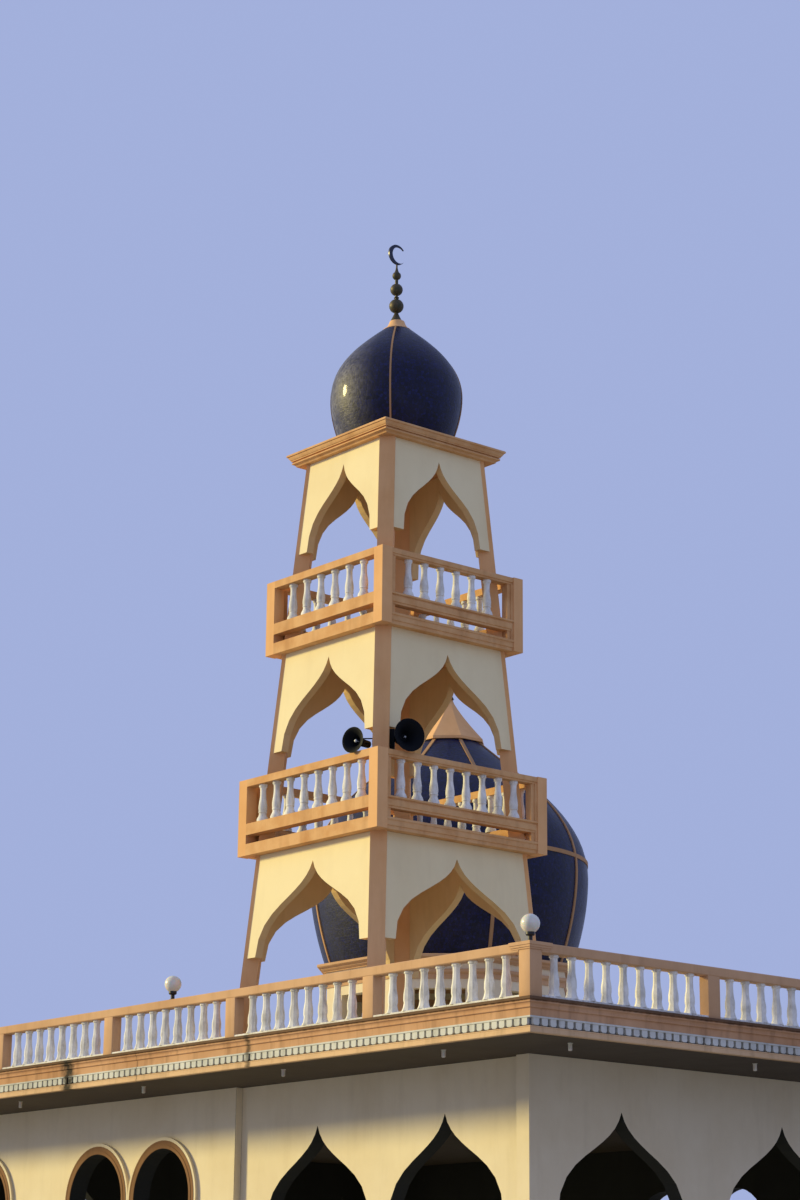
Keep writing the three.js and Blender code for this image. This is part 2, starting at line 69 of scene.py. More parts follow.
Mesh = bmesh.types.BMesh
Material = bpy.types.Material
Tree = bpy.types.NodeTree
Socket = bpy.types.NodeSocket
Point2 = tuple[float, float]
Point3 = tuple[float, float, float]
Colour = tuple[float, float, float, float]
NodeInputs = Mapping[str | int, object]


class Slot(Enum):
    """Names of material slots, which nothing in this script uses."""

    CREAM = "cream_render"
    TAN = "tan_render"
    MOSAIC = "navy_mosaic"
    METAL = "black_metal"
    OPAL = "opal_globe"
    SCREED = "floor_screed"


class Side(Enum):
    """The four sides, each with its turn in degrees from the front, which faces -Y."""

    FRONT = 0
    RIGHT = 90
    BACK = 180
    LEFT = 270

    @property
    def turn(self) -> Matrix:
        """The rotation that takes a piece made for the front to this side."""
        return Matrix.Rotation(math.radians(self.value), 4, "Z")

    @property
    def label(self) -> str:
        """The side's word in the names of nodes and pieces."""
        return self.name.lower()

    @property
    def is_long(self) -> bool:
        """Whether it is one of the two long fronts."""
        return self in (Side.FRONT, Side.BACK)


def linear(hex_colour: str) -> Colour:
    """Turn an sRGB hex colour into linear RGBA.

    Args:
        hex_colour: Six hex digits after a hash sign.

    Returns:
        The linear colour with full alpha.
    """
    channels = [int(hex_colour[i : i + 2], 16) / 255.0 for i in (1, 3, 5)]
    red, green, blue = (
        value / 12.92 if value <= 0.04045 else ((value + 0.055) / 1.055) ** 2.4
        for value in channels
    )
    return (red, green, blue, 1.0)


def per_metre(size_mm: float) -> float:
    """Give the texture scale that makes one feature this many millimetres wide."""
    return 1000.0 / size_mm


def add(
    tree: Tree,
    kind: str,
    settings: Mapping[str, object] | None = None,
    inputs: NodeInputs | None = None,
) -> bpy.types.Node:
    """Add a node with its settings, input values and links.

    Args:
        tree: The node tree to add to.
        kind: The node's type name.
        settings: Attributes to set on the node.
        inputs: For each input's name or number, a value, or an output socket to link from.

    Returns:
        The new node.
    """
    node = tree.nodes.new(kind)
    for name, value in (settings or {}).items():
        setattr(node, name, value)
    for key, value in (inputs or {}).items():
        if isinstance(value, Socket):
            tree.links.new(value, node.inputs[key])
        else:
            node.inputs[key].default_value = value
    return node


class Patches(NamedTuple):
    """Soft patches of one colour on another."""

    noise: Socket
    share: Socket
    colour: Socket


def patched(
    tree: Tree,
    place: Socket,
    noise: NodeInputs,
    span: NodeInputs,
    under: Socket | Colour,
    over: Socket | Colour,
) -> Patches:
    """Cover a colour with soft patches of another.

    Args:
        tree: The material's tree.
        place: Where the patches' pattern is read.
        noise: Their size and grain.
        span: How their noise becomes the share that they cover.
        under: The colour beneath.
        over: The patches' colour.

    Returns:
        The patches' noise, the share that they cover, and the colour.
    """
    cloud = add(tree, "ShaderNodeTexNoise", None, {"Vector": place, **noise}).outputs["Fac"]
    share = add(tree, "ShaderNodeMapRange", None, {"Value": cloud, **span}).outputs["Result"]
    mixed = add(tree, "ShaderNodeMix", {"data_type": "RGBA"}, {0: share, 6: under, 7: over})
    return Patches(cloud, share, mixed.outputs[2])


def bumped(tree: Tree, place: Socket, noise: NodeInputs, depth: NodeInputs) -> Socket:
    """Raise a surface in an uneven pattern.

    Args:
        tree: The material's tree.
        place: Where the pattern is read.
        noise: Its size and grain.
        depth: Its strength and height, and the normal that it bumps further.

    Returns:
        The bumped normal.
    """
    height = add(tree, "ShaderNodeTexNoise", None, {"Vector": place, **noise}).outputs["Fac"]
    return add(tree, "ShaderNodeBump", None, {"Height": height, **depth}).outputs["Normal"]


@dataclass(frozen=True)
class Finish:
    """A finish with its pattern on Object coordinates."""

    name: str

    def build(self) -> Material:
        """Build the material.

        Returns:
            The finished material.
        """
        material = bpy.data.materials.new(self.name)
        material.use_nodes = True
        tree = material.node_tree
        tree.nodes.clear()
        place = add(tree, "ShaderNodeTexCoord").outputs["Object"]
        shader = add(tree, "ShaderNodeBsdfPrincipled", None, self.shading(tree, place))
        add(tree, "ShaderNodeOutputMaterial", None, {"Surface": shader.outputs["BSDF"]})
        return material

    def shading(self, tree: Tree, place: Socket) -> NodeInputs:
        """Build the nodes that feed the shader.

        Args:
            tree: The material's tree.
            place: Object coordinates.

        Returns:
            The shader's inputs.
        """
        raise NotImplementedError


@dataclass(frozen=True)
class StudioPaper(Finish):
    """Matt pale background paper, rolled out as a floor: one even tone with no shine."""

    colour: str

    def shading(self, tree: Tree, place: Socket) -> NodeInputs:
        """Give the shader the paper's one colour."""
        return {"Base Color": linear(self.colour), "Roughness": 0.9}


@dataclass(frozen=True)
class MasonryPaint(Finish):
    """Masonry paint, rolled on cement render that was smoothed with a float.

    The float leaves a fine grain and slow waves, so broad light breaks up softly. The pigment fades
    in patches, and rain washes dust down the faces in streaks.
    """

    paint: str
    faded: str
    dirt: str
    fading: float = 0.7
    streaks: float = 0.2
    roughness: float = 0.82
    patch_mm: float = 1500.0
    streak_width_mm: float = 260.0
    streak_length_mm: float = 1700.0
    # A float's grain is about 3 mm. It is drawn ten times coarser, so that it shows.
    grain_mm: float = 30.0
    grain_depth: float = 0.004
    wave_mm: float = 450.0
    wave_depth: float = 0.02

    def shading(self, tree: Tree, place: Socket) -> NodeInputs:
        """Build the paint's colour and relief.

        Args:
            tree: The material's tree.
            place: Object coordinates.

        Returns:
            The shader's inputs.
        """
        return {
            "Base Color": self.colour(tree, place),
            "Roughness": self.roughness,
            "IOR": 1.45,
            "Specular IOR Level": 0.3,
            "Normal": self.relief(tree, place),
        }

    def colour(self, tree: Tree, place: Socket) -> Socket:
        """Build the paint's colour with its faded patches and its streaks.

        Args:
            tree: The material's tree.
            place: Object coordinates.

        Returns:
            The colour.
        """
        noise = {"Scale": per_metre(self.patch_mm), "Detail": 6.0, "Roughness": 0.62}
        span = {"From Min": 0.4, "From Max": 0.68, "To Max": self.fading}
        paint = patched(tree, place, noise, span, linear(self.paint), linear(self.faded)).colour
        across = per_metre(self.streak_width_mm)
        down = per_metre(self.streak_length_mm)
        mapped = {"Vector": place, "Scale": (across, across, down)}
        stretched = add(tree, "ShaderNodeMapping", None, mapped).outputs["Vector"]
        noise = {"Scale": 1.0, "Detail": 4.0, "Roughness": 0.6}
        span = {"From Min": 0.5, "From Max": 0.8, "To Max": self.streaks}
        return patched(tree, stretched, noise, span, paint, linear(self.dirt)).colour

    def relief(self, tree: Tree, place: Socket) -> Socket:
        """Build the float's grain and waves.

        Args:
            tree: The material's tree.
            place: Object coordinates.

        Returns:
            The bumped normal.
        """
        noise = {"Scale": per_metre(self.wave_mm), "Detail": 1.0}
        waves = bumped(tree, place, noise, {"Strength": 0.35, "Distance": self.wave_depth})
        noise = {"Scale": per_metre(self.grain_mm), "Detail": 3.0}
        depth = {"Strength": 0.3, "Distance": self.grain_depth, "Normal": waves}
        return bumped(tree, place, noise, depth)


@dataclass(frozen=True)
class TwoSidedPaint(MasonryPaint):
    """Masonry paint in one colour on the faces that look outwards, and another on the rest.

    Attributes:
        inside: The paint of the reveals and the inner faces.
        centre: The point in plan that the outer faces look away from.
        axes: Which axes count for that.
        limit: How far from the centre, along its own normal, an outer face lies at least.
    """

    inside: MasonryPaint | None = None
    centre: Point2 = (0.0, 0.0)
    axes: Point3 = (1.0, 1.0, 0.0)
    limit: float = 0.6

    def colour(self, tree: Tree, place: Socket) -> Socket:
        """Build the two colours and choose between them by the way a face looks.

        Args:
            tree: The material's tree.
            place: Object coordinates.

        Returns:
            The colour.
        """
        outer = MasonryPaint.colour(self, tree, place)
        inner = self.inside.colour(tree, place)
        subtract = {"operation": "SUBTRACT"}
        offset = add(tree, "ShaderNodeVectorMath", subtract, {0: place, 1: (*self.centre, 0.0)})
        multiply = {"operation": "MULTIPLY"}
        reach = {0: offset.outputs["Vector"], 1: self.axes}
        level = add(tree, "ShaderNodeVectorMath", multiply, reach)
        facing = add(tree, "ShaderNodeNewGeometry").outputs["True Normal"]
        looks = {0: level.outputs["Vector"], 1: facing}
        outward = add(tree, "ShaderNodeVectorMath", {"operation": "DOT_PRODUCT"}, looks)
        bar = {0: outward.outputs["Value"], 1: self.limit}
        is_outer = add(tree, "ShaderNodeMath", {"operation": "GREATER_THAN"}, bar)
        choice = {0: is_outer.outputs["Value"], 6: inner, 7: outer}
        return add(tree, "ShaderNodeMix", {"data_type": "RGBA"}, choice).outputs[2]


@dataclass(frozen=True)
class Drip:
    """A dark stain that runs down the front of the roof's edge.

    Attributes:
        x: Where it is along the front.
        half_width: Half its width.
        strength: How much of the paint it covers.
    """

    x: float
    half_width: float
    strength: float


@dataclass(frozen=True)
class EdgePaint(MasonryPaint):
    """Masonry paint with dark drips at named places on the front, and a dark band along its top that
    is partly grime and partly painted shade.

    Attributes:
        drips: The drips.
        front_y: A plane that only the front lies beyond.
        grime_and_shade_z: The height from which grime and painted shade cover the face.
        grime_and_shade_share: How much of the paint they cover.
        grime_and_shade: Their colour.
        soot: The drips' colour.
        ragged_mm: The size of the notches in the stains' edges.
    """

    drips: tuple[Drip, ...] = ()
    front_y: float = 0.0
    grime_and_shade_z: float = 100.0
    grime_and_shade_share: float = 0.8
    grime_and_shade: str = "#3A281A"
    soot: str = "#1C1712"
    ragged_mm: float = 90.0

    def colour(self, tree: Tree, place: Socket) -> Socket:
        """Build the paint's colour, darken it along its top with grime and painted shade, and at
        each drip.

        Args:
            tree: The material's tree.
            place: Object coordinates.

        Returns:
            The colour.
        """
        result = MasonryPaint.colour(self, tree, place)
        axes = add(tree, "ShaderNodeSeparateXYZ", None, {"Vector": place}).outputs
        front = {0: axes["Y"], 1: self.front_y}
        on_front = add(tree, "ShaderNodeMath", {"operation": "LESS_THAN"}, front)
        notches = {"Vector": place, "Scale": per_metre(self.ragged_mm), "Detail": 4.0}
        ragged = add(tree, "ShaderNodeTexNoise", None, notches).outputs["Fac"]
        multiply_add = {"operation": "MULTIPLY_ADD"}
        raised = add(tree, "ShaderNodeMath", multiply_add, {0: ragged, 1: 0.05, 2: axes["Z"]})
        darkened_top = add(tree, "ShaderNodeMapRange", None, {
            "Value": raised.outputs["Value"], "From Min": self.grime_and_shade_z,
            "From Max": self.grime_and_shade_z + 0.03, "To Max": self.grime_and_shade_share,
        })
        mixed = {0: darkened_top.outputs["Result"], 6: result, 7: linear(self.grime_and_shade)}
        result = add(tree, "ShaderNodeMix", {"data_type": "RGBA"}, mixed).outputs[2]
        for drip in self.drips:
            apart = {0: axes["X"], 1: drip.x}
            away = add(tree, "ShaderNodeMath", {"operation": "SUBTRACT"}, apart)
            absolute = {"operation": "ABSOLUTE"}
            distance = add(tree, "ShaderNodeMath", absolute, {0: away.outputs["Value"]})
            edge = {0: ragged, 1: drip.half_width * 1.6, 2: distance.outputs["Value"]}
            wobble = add(tree, "ShaderNodeMath", multiply_add, edge)
            share = add(tree, "ShaderNodeMapRange", None, {
                "Value": wobble.outputs["Value"], "From Min": drip.half_width * 1.9,
                "From Max": drip.half_width * 0.9, "To Max": drip.strength,
            })
            both = {0: share.outputs["Result"], 1: on_front.outputs["Value"]}
            here = add(tree, "ShaderNodeMath", {"operation": "MULTIPLY"}, both)
            mixed = {0: here.outputs["Value"], 6: result, 7: linear(self.soot)}
            result = add(tree, "ShaderNodeMix", {"data_type": "RGBA"}, mixed).outputs[2]
        return result


@dataclass(frozen=True)
class GlazedMosaic(Finish):
    """Glazed ceramic mosaic, set by hand in dark grout.

    Glass-smooth glaze on tiles that each lie a little askew breaks a highlight into sparks. Dust
    dulls it in patches, and a painted sheen greys the side that faces the key light.
    """

    name: str = "navy glazed mosaic"
    glaze: str = "#101545"
    deep: str = "#070A26"
    pale: str = "#1D2662"
    grout: str = "#0F1018"
    dust: str = "#8E8D96"
    # The tiles are about 25 mm wide. They are drawn as 55 mm, so that they show.
    tile_mm: float = 55.0
    unevenness: float = 0.55
    dust_mm: float = 900.0
    # Painted sheen: faces that look towards the key light are greyed with the dust's colour, up to
    # this share of the colour.
    sheen_towards: Point3 = (-0.78, -0.62, 0.0)
    sheen_share: float = 0.5

    def shading(self, tree: Tree, place: Socket) -> NodeInputs:
        """Lay the tiles, dust them and tilt each a little.

        Args:
            tree: The material's tree.
            place: Object coordinates.

        Returns:
            The shader's inputs.
        """
        laid = {
            "Vector": place, "Scale": per_metre(self.tile_mm), "Randomness": self.unevenness
        }
        cells = add(tree, "ShaderNodeTexVoronoi", {"feature": "F1"}, laid).outputs["Color"]
        edges = add(tree, "ShaderNodeTexVoronoi", {"feature": "DISTANCE_TO_EDGE"}, laid)
        gap = edges.outputs["Distance"]
        tone = add(tree, "ShaderNodeSeparateColor", None, {"Color": cells}).outputs
        dust = {
            "Vector": place, "Scale": per_metre(self.dust_mm), "Detail": 7.0, "Roughness": 0.68
        }
        clouds = add(tree, "ShaderNodeTexNoise", None, dust).outputs["Fac"]
        tiles = self.tiles(tree, tone, gap)
        cover = self.dust_and_sheen_cover(tree, clouds, tone["Blue"])
        dust_and_sheen_mix = {0: cover, 6: tiles, 7: linear(self.dust)}
        dulled = add(tree, "ShaderNodeMapRange", None, {
            "Value": clouds, "From Min": 0.35, "From Max": 0.75, "To Min": 0.42, "To Max": 0.62
        })
        askew = {"Scale": per_metre(self.tile_mm * 1.4), "Detail": 1.0}
        tilt = bumped(tree, place, askew, {"Strength": 0.8, "Distance": 0.006})
        rounded = add(tree, "ShaderNodeMapRange", None, {"Value": gap, "From Max": 0.12})
        relief = add(tree, "ShaderNodeBump", None, {
            "Height": rounded.outputs["Result"], "Strength": 0.4, "Distance": 0.003,
            "Normal": tilt,
        })
        return {
            "Base Color": add(tree, "ShaderNodeMix", {"data_type": "RGBA"}, dust_and_sheen_mix).outputs[2],
            "Roughness": dulled.outputs["Result"],
            "IOR": 1.52,
            "Specular IOR Level": 0.2,
            "Coat Weight": 0.12,
            "Coat Roughness": 0.08,
            "Normal": relief.outputs["Normal"],
        }

    def tiles(self, tree: Tree, tone: Mapping[str, Socket], gap: Socket) -> Socket:
        """Give each tile one of the glaze's tones, and draw the joints between them.

        Args:
            tree: The material's tree.
            tone: The random numbers of each tile.
            gap: How far it is to the nearest joint, in tiles.

        Returns:
            The colour.
        """
        mix = {"data_type": "RGBA"}
        darks = {0: tone["Red"], 6: linear(self.deep), 7: linear(self.glaze)}
        dark_tile = add(tree, "ShaderNodeMix", mix, darks).outputs[2]
        light_share = add(tree, "ShaderNodeMapRange", None, {
            "Value": tone["Green"], "From Min": 0.75, "From Max": 1.0, "To Max": 0.4
        })
        lights = {0: light_share.outputs["Result"], 6: dark_tile, 7: linear(self.pale)}
        tile = add(tree, "ShaderNodeMix", mix, lights).outputs[2]
        joint = add(tree, "ShaderNodeMapRange", None, {
            "Value": gap, "From Min": 0.03, "From Max": 0.08, "To Min": 1.0, "To Max": 0.0
        })
        grouted = {0: joint.outputs["Result"], 6: tile, 7: linear(self.grout)}
        return add(tree, "ShaderNodeMix", mix, grouted).outputs[2]

    def dust_and_sheen_cover(self, tree: Tree, clouds: Socket, speckle: Socket) -> Socket:
        """Work out how much of the glaze the dust and the painted sheen cover.

        Args:
            tree: The material's tree.
            clouds: The dust's slow noise.
            speckle: A random number for each tile.

        Returns:
            The share that it covers.
        """
        thin = add(tree, "ShaderNodeMapRange", None, {
            "Value": clouds, "From Min": 0.46, "From Max": 0.78, "To Max": 0.06
        })
        # Painted sheen: the side that faces the key light is greyed in patches, tile by tile.
        facing = add(tree, "ShaderNodeNewGeometry").outputs["Normal"]
        looks = {0: facing, 1: self.sheen_towards}
        towards_light = add(tree, "ShaderNodeVectorMath", {"operation": "DOT_PRODUCT"}, looks)
        lit_share = add(tree, "ShaderNodeMapRange", None, {
            "Value": towards_light.outputs["Value"], "From Min": 0.15, "From Max": 0.8
        })
        sheen_patches = add(tree, "ShaderNodeMapRange", None, {
            "Value": clouds, "From Min": 0.35, "From Max": 0.68,
            "To Min": 0.25 * self.sheen_share, "To Max": self.sheen_share,
        })
        multiply_add = {"operation": "MULTIPLY_ADD"}
        tile_share = add(tree, "ShaderNodeMath", multiply_add, {0: speckle, 1: 1.1, 2: 0.45})
        parts = {0: sheen_patches.outputs["Result"], 1: tile_share.outputs["Value"]}
        speckled_sheen = add(tree, "ShaderNodeMath", {"operation": "MULTIPLY"}, parts)
        whole = {
            0: lit_share.outputs["Result"],
            1: speckled_sheen.outputs["Value"],
            2: thin.outputs["Result"],
        }
        return add(tree, "ShaderNodeMath", multiply_add, whole).outputs["Value"]


@dataclass(frozen=True)
class WeatheredMetal(Finish):
    """Cast or spun metal that has stood out of doors, bare or under satin paint.

    Soot and verdigris dull it in blotches, and it shines between them.
    """

    base: str
    blotch: str
    metallic: float
    smooth: float
    rough: float
    specular: float = 0.5
    blotch_mm: float = 60.0

    def shading(self, tree: Tree, place: Socket) -> NodeInputs:
        """Build the metal's blotches.

        Args:
            tree: The material's tree.
            place: Object coordinates.

        Returns:
            The shader's inputs.
        """
        noise = {"Scale": per_metre(self.blotch_mm), "Detail": 5.0}
        span = {"From Min": 0.45, "From Max": 0.7}
        spots = patched(tree, place, noise, span, linear(self.base), linear(self.blotch))
        shine = {"Value": spots.share, "To Min": self.smooth, "To Max": self.rough}
        pits = {"Height": spots.noise, "Strength": 0.2, "Distance": 0.002}
        return {
            "Base Color": spots.colour,
            "Metallic": self.metallic,
            "Roughness": add(tree, "ShaderNodeMapRange", None, shine).outputs["Result"],
            "Specular IOR Level": self.specular,
            "Normal": add(tree, "ShaderNodeBump", None, pits).outputs["Normal"],
        }


@dataclass(frozen=True)
class OpalPlastic(Finish):
    """Blown opal acrylic: milky, smooth and softly glossy, with a film of dust."""

    name: str = "opal acrylic"
    # The base is greyed a little as painted shade.
    base: str = "#E4E0D2"
    dust: str = "#BDB7A6"
    dust_mm: float = 140.0

    def shading(self, tree: Tree, place: Socket) -> NodeInputs:
        """Build the acrylic's film of dust.

        Args:
            tree: The material's tree.
            place: Object coordinates.

        Returns:
            The shader's inputs.
        """
        noise = {"Scale": per_metre(self.dust_mm), "Detail": 5.0}
        span = {"From Min": 0.4, "From Max": 0.75, "To Max": 0.6}
        film = patched(tree, place, noise, span, linear(self.base), linear(self.dust))
        shine = {"Value": film.share, "To Min": 0.18, "To Max": 0.5}
        return {
            "Base Color": film.colour,
            "Roughness": add(tree, "ShaderNodeMapRange", None, shine).outputs["Result"],
            "IOR": 1.49,
            "Subsurface Weight": 0.25,
            "Subsurface Scale": 0.02,
        }


@dataclass
class Palette:
    """Every finish of the building, built once.

    Attributes:
        tower_centre: The minaret's axis in plan.
        front_y: A plane that only the front of the roof's edge lies beyond.
        ledge_z: The height of the top of the roof's edge.
        drips: The stains on the front of the roof's edge.
        grime_and_shade_height: How far grime and painted shade reach down from the top of that edge.
    """

    tower_centre: Point2
    front_y: float
    ledge_z: float
    drips: tuple[Drip, ...] = (
        Drip(0.62, 0.26, 0.97),
        Drip(2.86, 0.014, 0.6),
        Drip(6.19, 0.10, 0.75),
        Drip(-5.1, 0.07, 0.7),
        Drip(-10.3, 0.04, 0.5),
    )
    grime_and_shade_height: float = 0.05

    def __post_init__(self) -> None:
        """Build the finishes."""
        self.build_plain_paints()
        self.build_wall_paints()
        self.build_edge_paints()
        self.build_other_finishes()

    def build_plain_paints(self) -> None:
        """Build the paints of one colour."""
        # Warm tan and chalky, with slow fading and faint washed streaks.
        self.tan = MasonryPaint(
            "tan masonry paint", "#E9B67F", "#DBA368", "#A46C3C", fading=0.8
        ).build()
        # The same tan, dulled as painted shade, with faded patches and streaks of dust.
        self.rail = MasonryPaint(
            "faded tan masonry paint", "#D1A880", "#BE946C", "#856040", fading=0.9, streaks=0.3
        ).build()
        # Tan darkened partly by weathering and partly as painted shade on the rails and mouldings,
        # in patches and streaks.
        self.band = MasonryPaint(
            "rain-darkened tan masonry paint", "#DBAC77", "#C9925A", "#8A5A34",
            fading=0.9, streaks=0.35, patch_mm=420.0,
        ).build()
        # A dull brown line over the navy.
        self.rib = MasonryPaint(
            "weathered tan masonry paint", "#B98E62", "#9C7A58", "#6B5642", fading=0.9
        ).build()
        # Painted shade: cold grey for the shade in the recess behind the dentils.
        self.dentil_painted_shade = MasonryPaint(
            "grey masonry paint", "#6E7274", "#5C6062", "#383A3C", streaks=0.5
        ).build()
        # Painted shade: dull dark brown for the deep shade under the eaves.
        self.soffit = MasonryPaint("soffit paint", "#554C40", "#4A4136", "#31291F").build()
        # Cool off-white with dust in patches and streaks.
        self.baluster = MasonryPaint(
            "white masonry paint on cast stone", "#EFEDE6", "#CBC7BB", "#7D7565", fading=0.9,
            streaks=0.6, patch_mm=260.0, streak_width_mm=60.0, streak_length_mm=300.0,
        ).build()
        # Flat dark brown, washed in streaks: a brown darkened as painted shade on the windows'
        # bands, so that they stand off the wall.
        self.surround = MasonryPaint(
            "brown masonry paint", "#8A6444", "#785638", "#523A26", streaks=0.4
        ).build()

    def build_wall_paints(self) -> None:
        """Build the walls' cream paint, alone and with the paint of their insides."""
        cream = ("#EADCBD", "#DECDAA", "#AC9B7A")
        # Smooth, warm and light, the quiet ground that the tan work stands against.
        self.cream = MasonryPaint("cream masonry paint", *cream, streaks=0.15).build()
        # Cream to the weather and warm ochre in the reveals and behind; the ochre is lightened to
        # paint in the light that bounces round inside.
        self.panel = TwoSidedPaint(
            "cream and ochre masonry paint", "#F0E0B3", "#E8D5A6", "#BEAA84", streaks=0.12,
            inside=MasonryPaint("ochre masonry paint", "#E6C68E", "#D6B47A", "#A07C4E"),
            centre=self.tower_centre,
        ).build()
        wall = {
            "streaks": 0.15,
            "inside": MasonryPaint("dark masonry paint", "#34352F", "#2B2C27", "#1A1A17"),
            "limit": 2.0,
        }
        # Cream outside, and near-black within and in the reveals as painted shade, so that the
        # openings read as deep.
        self.front_wall = TwoSidedPaint(
            "cream and dark masonry paint", *cream, axes=(0.0, 1.0, 0.0), **wall
        ).build()
        # The same two, told apart along the other axis.
        self.side_wall = TwoSidedPaint(
            "cream and dark masonry paint on the sides", *cream, axes=(1.0, 0.3, 0.0), **wall
        ).build()

    def build_edge_paints(self) -> None:
        """Build the stained paints of the roof's edge."""
        stains = {"drips": self.drips, "front_y": self.front_y}
        # Streaked and blotched tan, darkest at the drips and under the kerb, where grime and painted
        # shade lie.
        self.fascia = EdgePaint(
            "stained tan masonry paint", "#CCA079", "#B3855E", "#6B4526", fading=0.95,
            streaks=0.7, grime_and_shade_z=self.ledge_z - self.grime_and_shade_height, **stains,
        ).build()
        # Pale buff, washed cleaner, a light line under the dark mouldings.
        self.lip = EdgePaint(
            "stained buff masonry paint", "#DDB98F", "#C4A27A", "#7F6646", streaks=0.5, **stains
        ).build()
        # Greyed white that picks the dentils out of their shade.
        self.dentil = EdgePaint(
            "stained white masonry paint", "#D6D6CE", "#B9B9B0", "#73726A", fading=0.9,
            streaks=0.55, streak_length_mm=500.0, **stains,
        ).build()

    def build_other_finishes(self) -> None:
        """Build the screeds, the mosaic, the metals and the globes' plastic."""
        # Grey, flat and a little mottled.
        self.screed = MasonryPaint(
            "trowelled screed", "#C6C0B2", "#B2AC9F", "#827C72", streaks=0.0
        ).build()
        # Brown-black painted shade, so that the slots over it read as dark.
        self.balcony_floor = MasonryPaint(
            "dark screed as painted shade", "#6A6052", "#574E42", "#342F27", streaks=0.0
        ).build()
        # Near-black navy that sparks where a tile catches the sun, with a painted sheen on the side
        # that faces the key light.
        self.mosaic = GlazedMosaic().build()
        # The same without the painted sheen.
        self.mosaic_without_sheen = GlazedMosaic("washed navy glazed mosaic", sheen_share=0.0).build()
        # Olive-brown, dull, with verdigris in blotches.
        self.bronze = WeatheredMetal(
            "dull bronze", "#51452E", "#3B4030", metallic=0.35, smooth=0.5, rough=0.75
        ).build()
        # Dark blue gloss worn to satin.
        self.crescent = WeatheredMetal(
            "navy gloss paint", "#0B1434", "#141C3A", metallic=0.0, smooth=0.35, rough=0.6
        ).build()
        # Blue-black and matt, so that a bell reads as a hole.
        self.horn = WeatheredMetal(
            "blue-black matt paint", "#070A0F", "#0C1015", metallic=0.0, smooth=0.6, rough=0.8,
            specular=0.12,
        ).build()
        # A small pale spot in the middle of the bell.
        self.horn_cap = WeatheredMetal(
            "pale grey paint", "#C9CCCE", "#A5A8AA", metallic=0.0, smooth=0.4, rough=0.6
        ).build()
        # Black with a soft shine, so that the globe seems to stand free.
        self.lamp_neck = WeatheredMetal(
            "black satin paint", "#0E0E0E", "#171614", metallic=0.0, smooth=0.4, rough=0.6
        ).build()
        # Milky and softly shining, a little greyed as painted shade.
        self.opal = OpalPlastic().build()


def plan_centre(node: str) -> Point2:
    """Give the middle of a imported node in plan.

    Args:
        node: The node's name.

    Returns:
        Its (x, y) middle.
    """
    low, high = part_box(node)
    return ((low.x + high.x) / 2.0, (low.y + high.y) / 2.0)


def round_edges(bm: Mesh, edges: Sequence[bmesh.types.BMEdge], by: float, segments: int) -> None:
    """Round some edges.

    Args:
        bm: The mesh that they are in.
        edges: The edges.
        by: How far they are cut back.
        segments: How many flats the round has.
    """
    bmesh.ops.bevel(
        bm, geom=edges, offset=by, offset_type="OFFSET", segments=segments, profile=0.5,
        affect="EDGES", clamp_overlap=True, material=-1,
    )


def block(bm: Mesh, low: Point3, high: Point3, bevel: float = 0.0) -> None:
    """Add a block between two corners.

    Args:
        bm: The mesh to add to.
        low: Its lowest corner.
        high: Its highest corner.
        bevel: How far its edges are rounded.
    """
    verts = bmesh.ops.create_cube(bm, size=1.0)["verts"]
    bmesh.ops.scale(bm, vec=Vector(high) - Vector(low), verts=verts)
    bmesh.ops.translate(bm, vec=(Vector(high) + Vector(low)) / 2.0, verts=verts)
    if bevel > 0.0:
        edges = {edge for vert in verts for edge in vert.link_edges}
        round_edges(bm, list(edges), bevel, 2)


def pull(bm: Mesh, faces: Sequence[bmesh.types.BMFace], along: Point3) -> None:
    """Extrude faces in a straight line.

    Args:
        bm: The mesh that they are in.
        faces: The faces.
        along: How far and which way.
    """
    extruded = bmesh.ops.extrude_face_region(bm, geom=faces)["geom"]
    verts = [item for item in extruded if isinstance(item, bmesh.types.BMVert)]
    bmesh.ops.translate(bm, vec=along, verts=verts)


def run(bm: Mesh, outline: Sequence[Point2], x0: float, x1: float) -> None:
    """Add a moulding of one section, run along X.

    Args:
        bm: The mesh to add to.
        outline: The section's (y, z) corners in order.
        x0: Where it starts.
        x1: Where it ends.
    """
    face = bm.faces.new([bm.verts.new((x0, y, z)) for y, z in outline])
    pull(bm, [face], (x1 - x0, 0.0, 0.0))


def upright(bm: Mesh, outline: Sequence[Point2], z0: float, z1: float) -> None:
    """Add a prism that stands on a flat outline.

    Args:
        bm: The mesh to add to.
        outline: The (x, y) corners in order.
        z0: The height of its foot.
        z1: The height of its top.
    """
    face = bm.faces.new([bm.verts.new((x, y, z0)) for x, y in outline])
    pull(bm, [face], (0.0, 0.0, z1 - z0))


def eased(y0: float, y1: float, z0: float, z1: float, ease: float) -> list[Point2]:
    """Give a rectangle's (y, z) section with its four corners cut off.

    Args:
        y0: Its lowest y.
        y1: Its highest y.
        z0: Its lowest z.
        z1: Its highest z.
        ease: How much is cut off.

    Returns:
        The section's corners in order.
    """
    return [
        (y0 + ease, z0), (y1 - ease, z0), (y1, z0 + ease), (y1, z1 - ease),
        (y1 - ease, z1), (y0 + ease, z1), (y0, z1 - ease), (y0, z0 + ease),
    ]


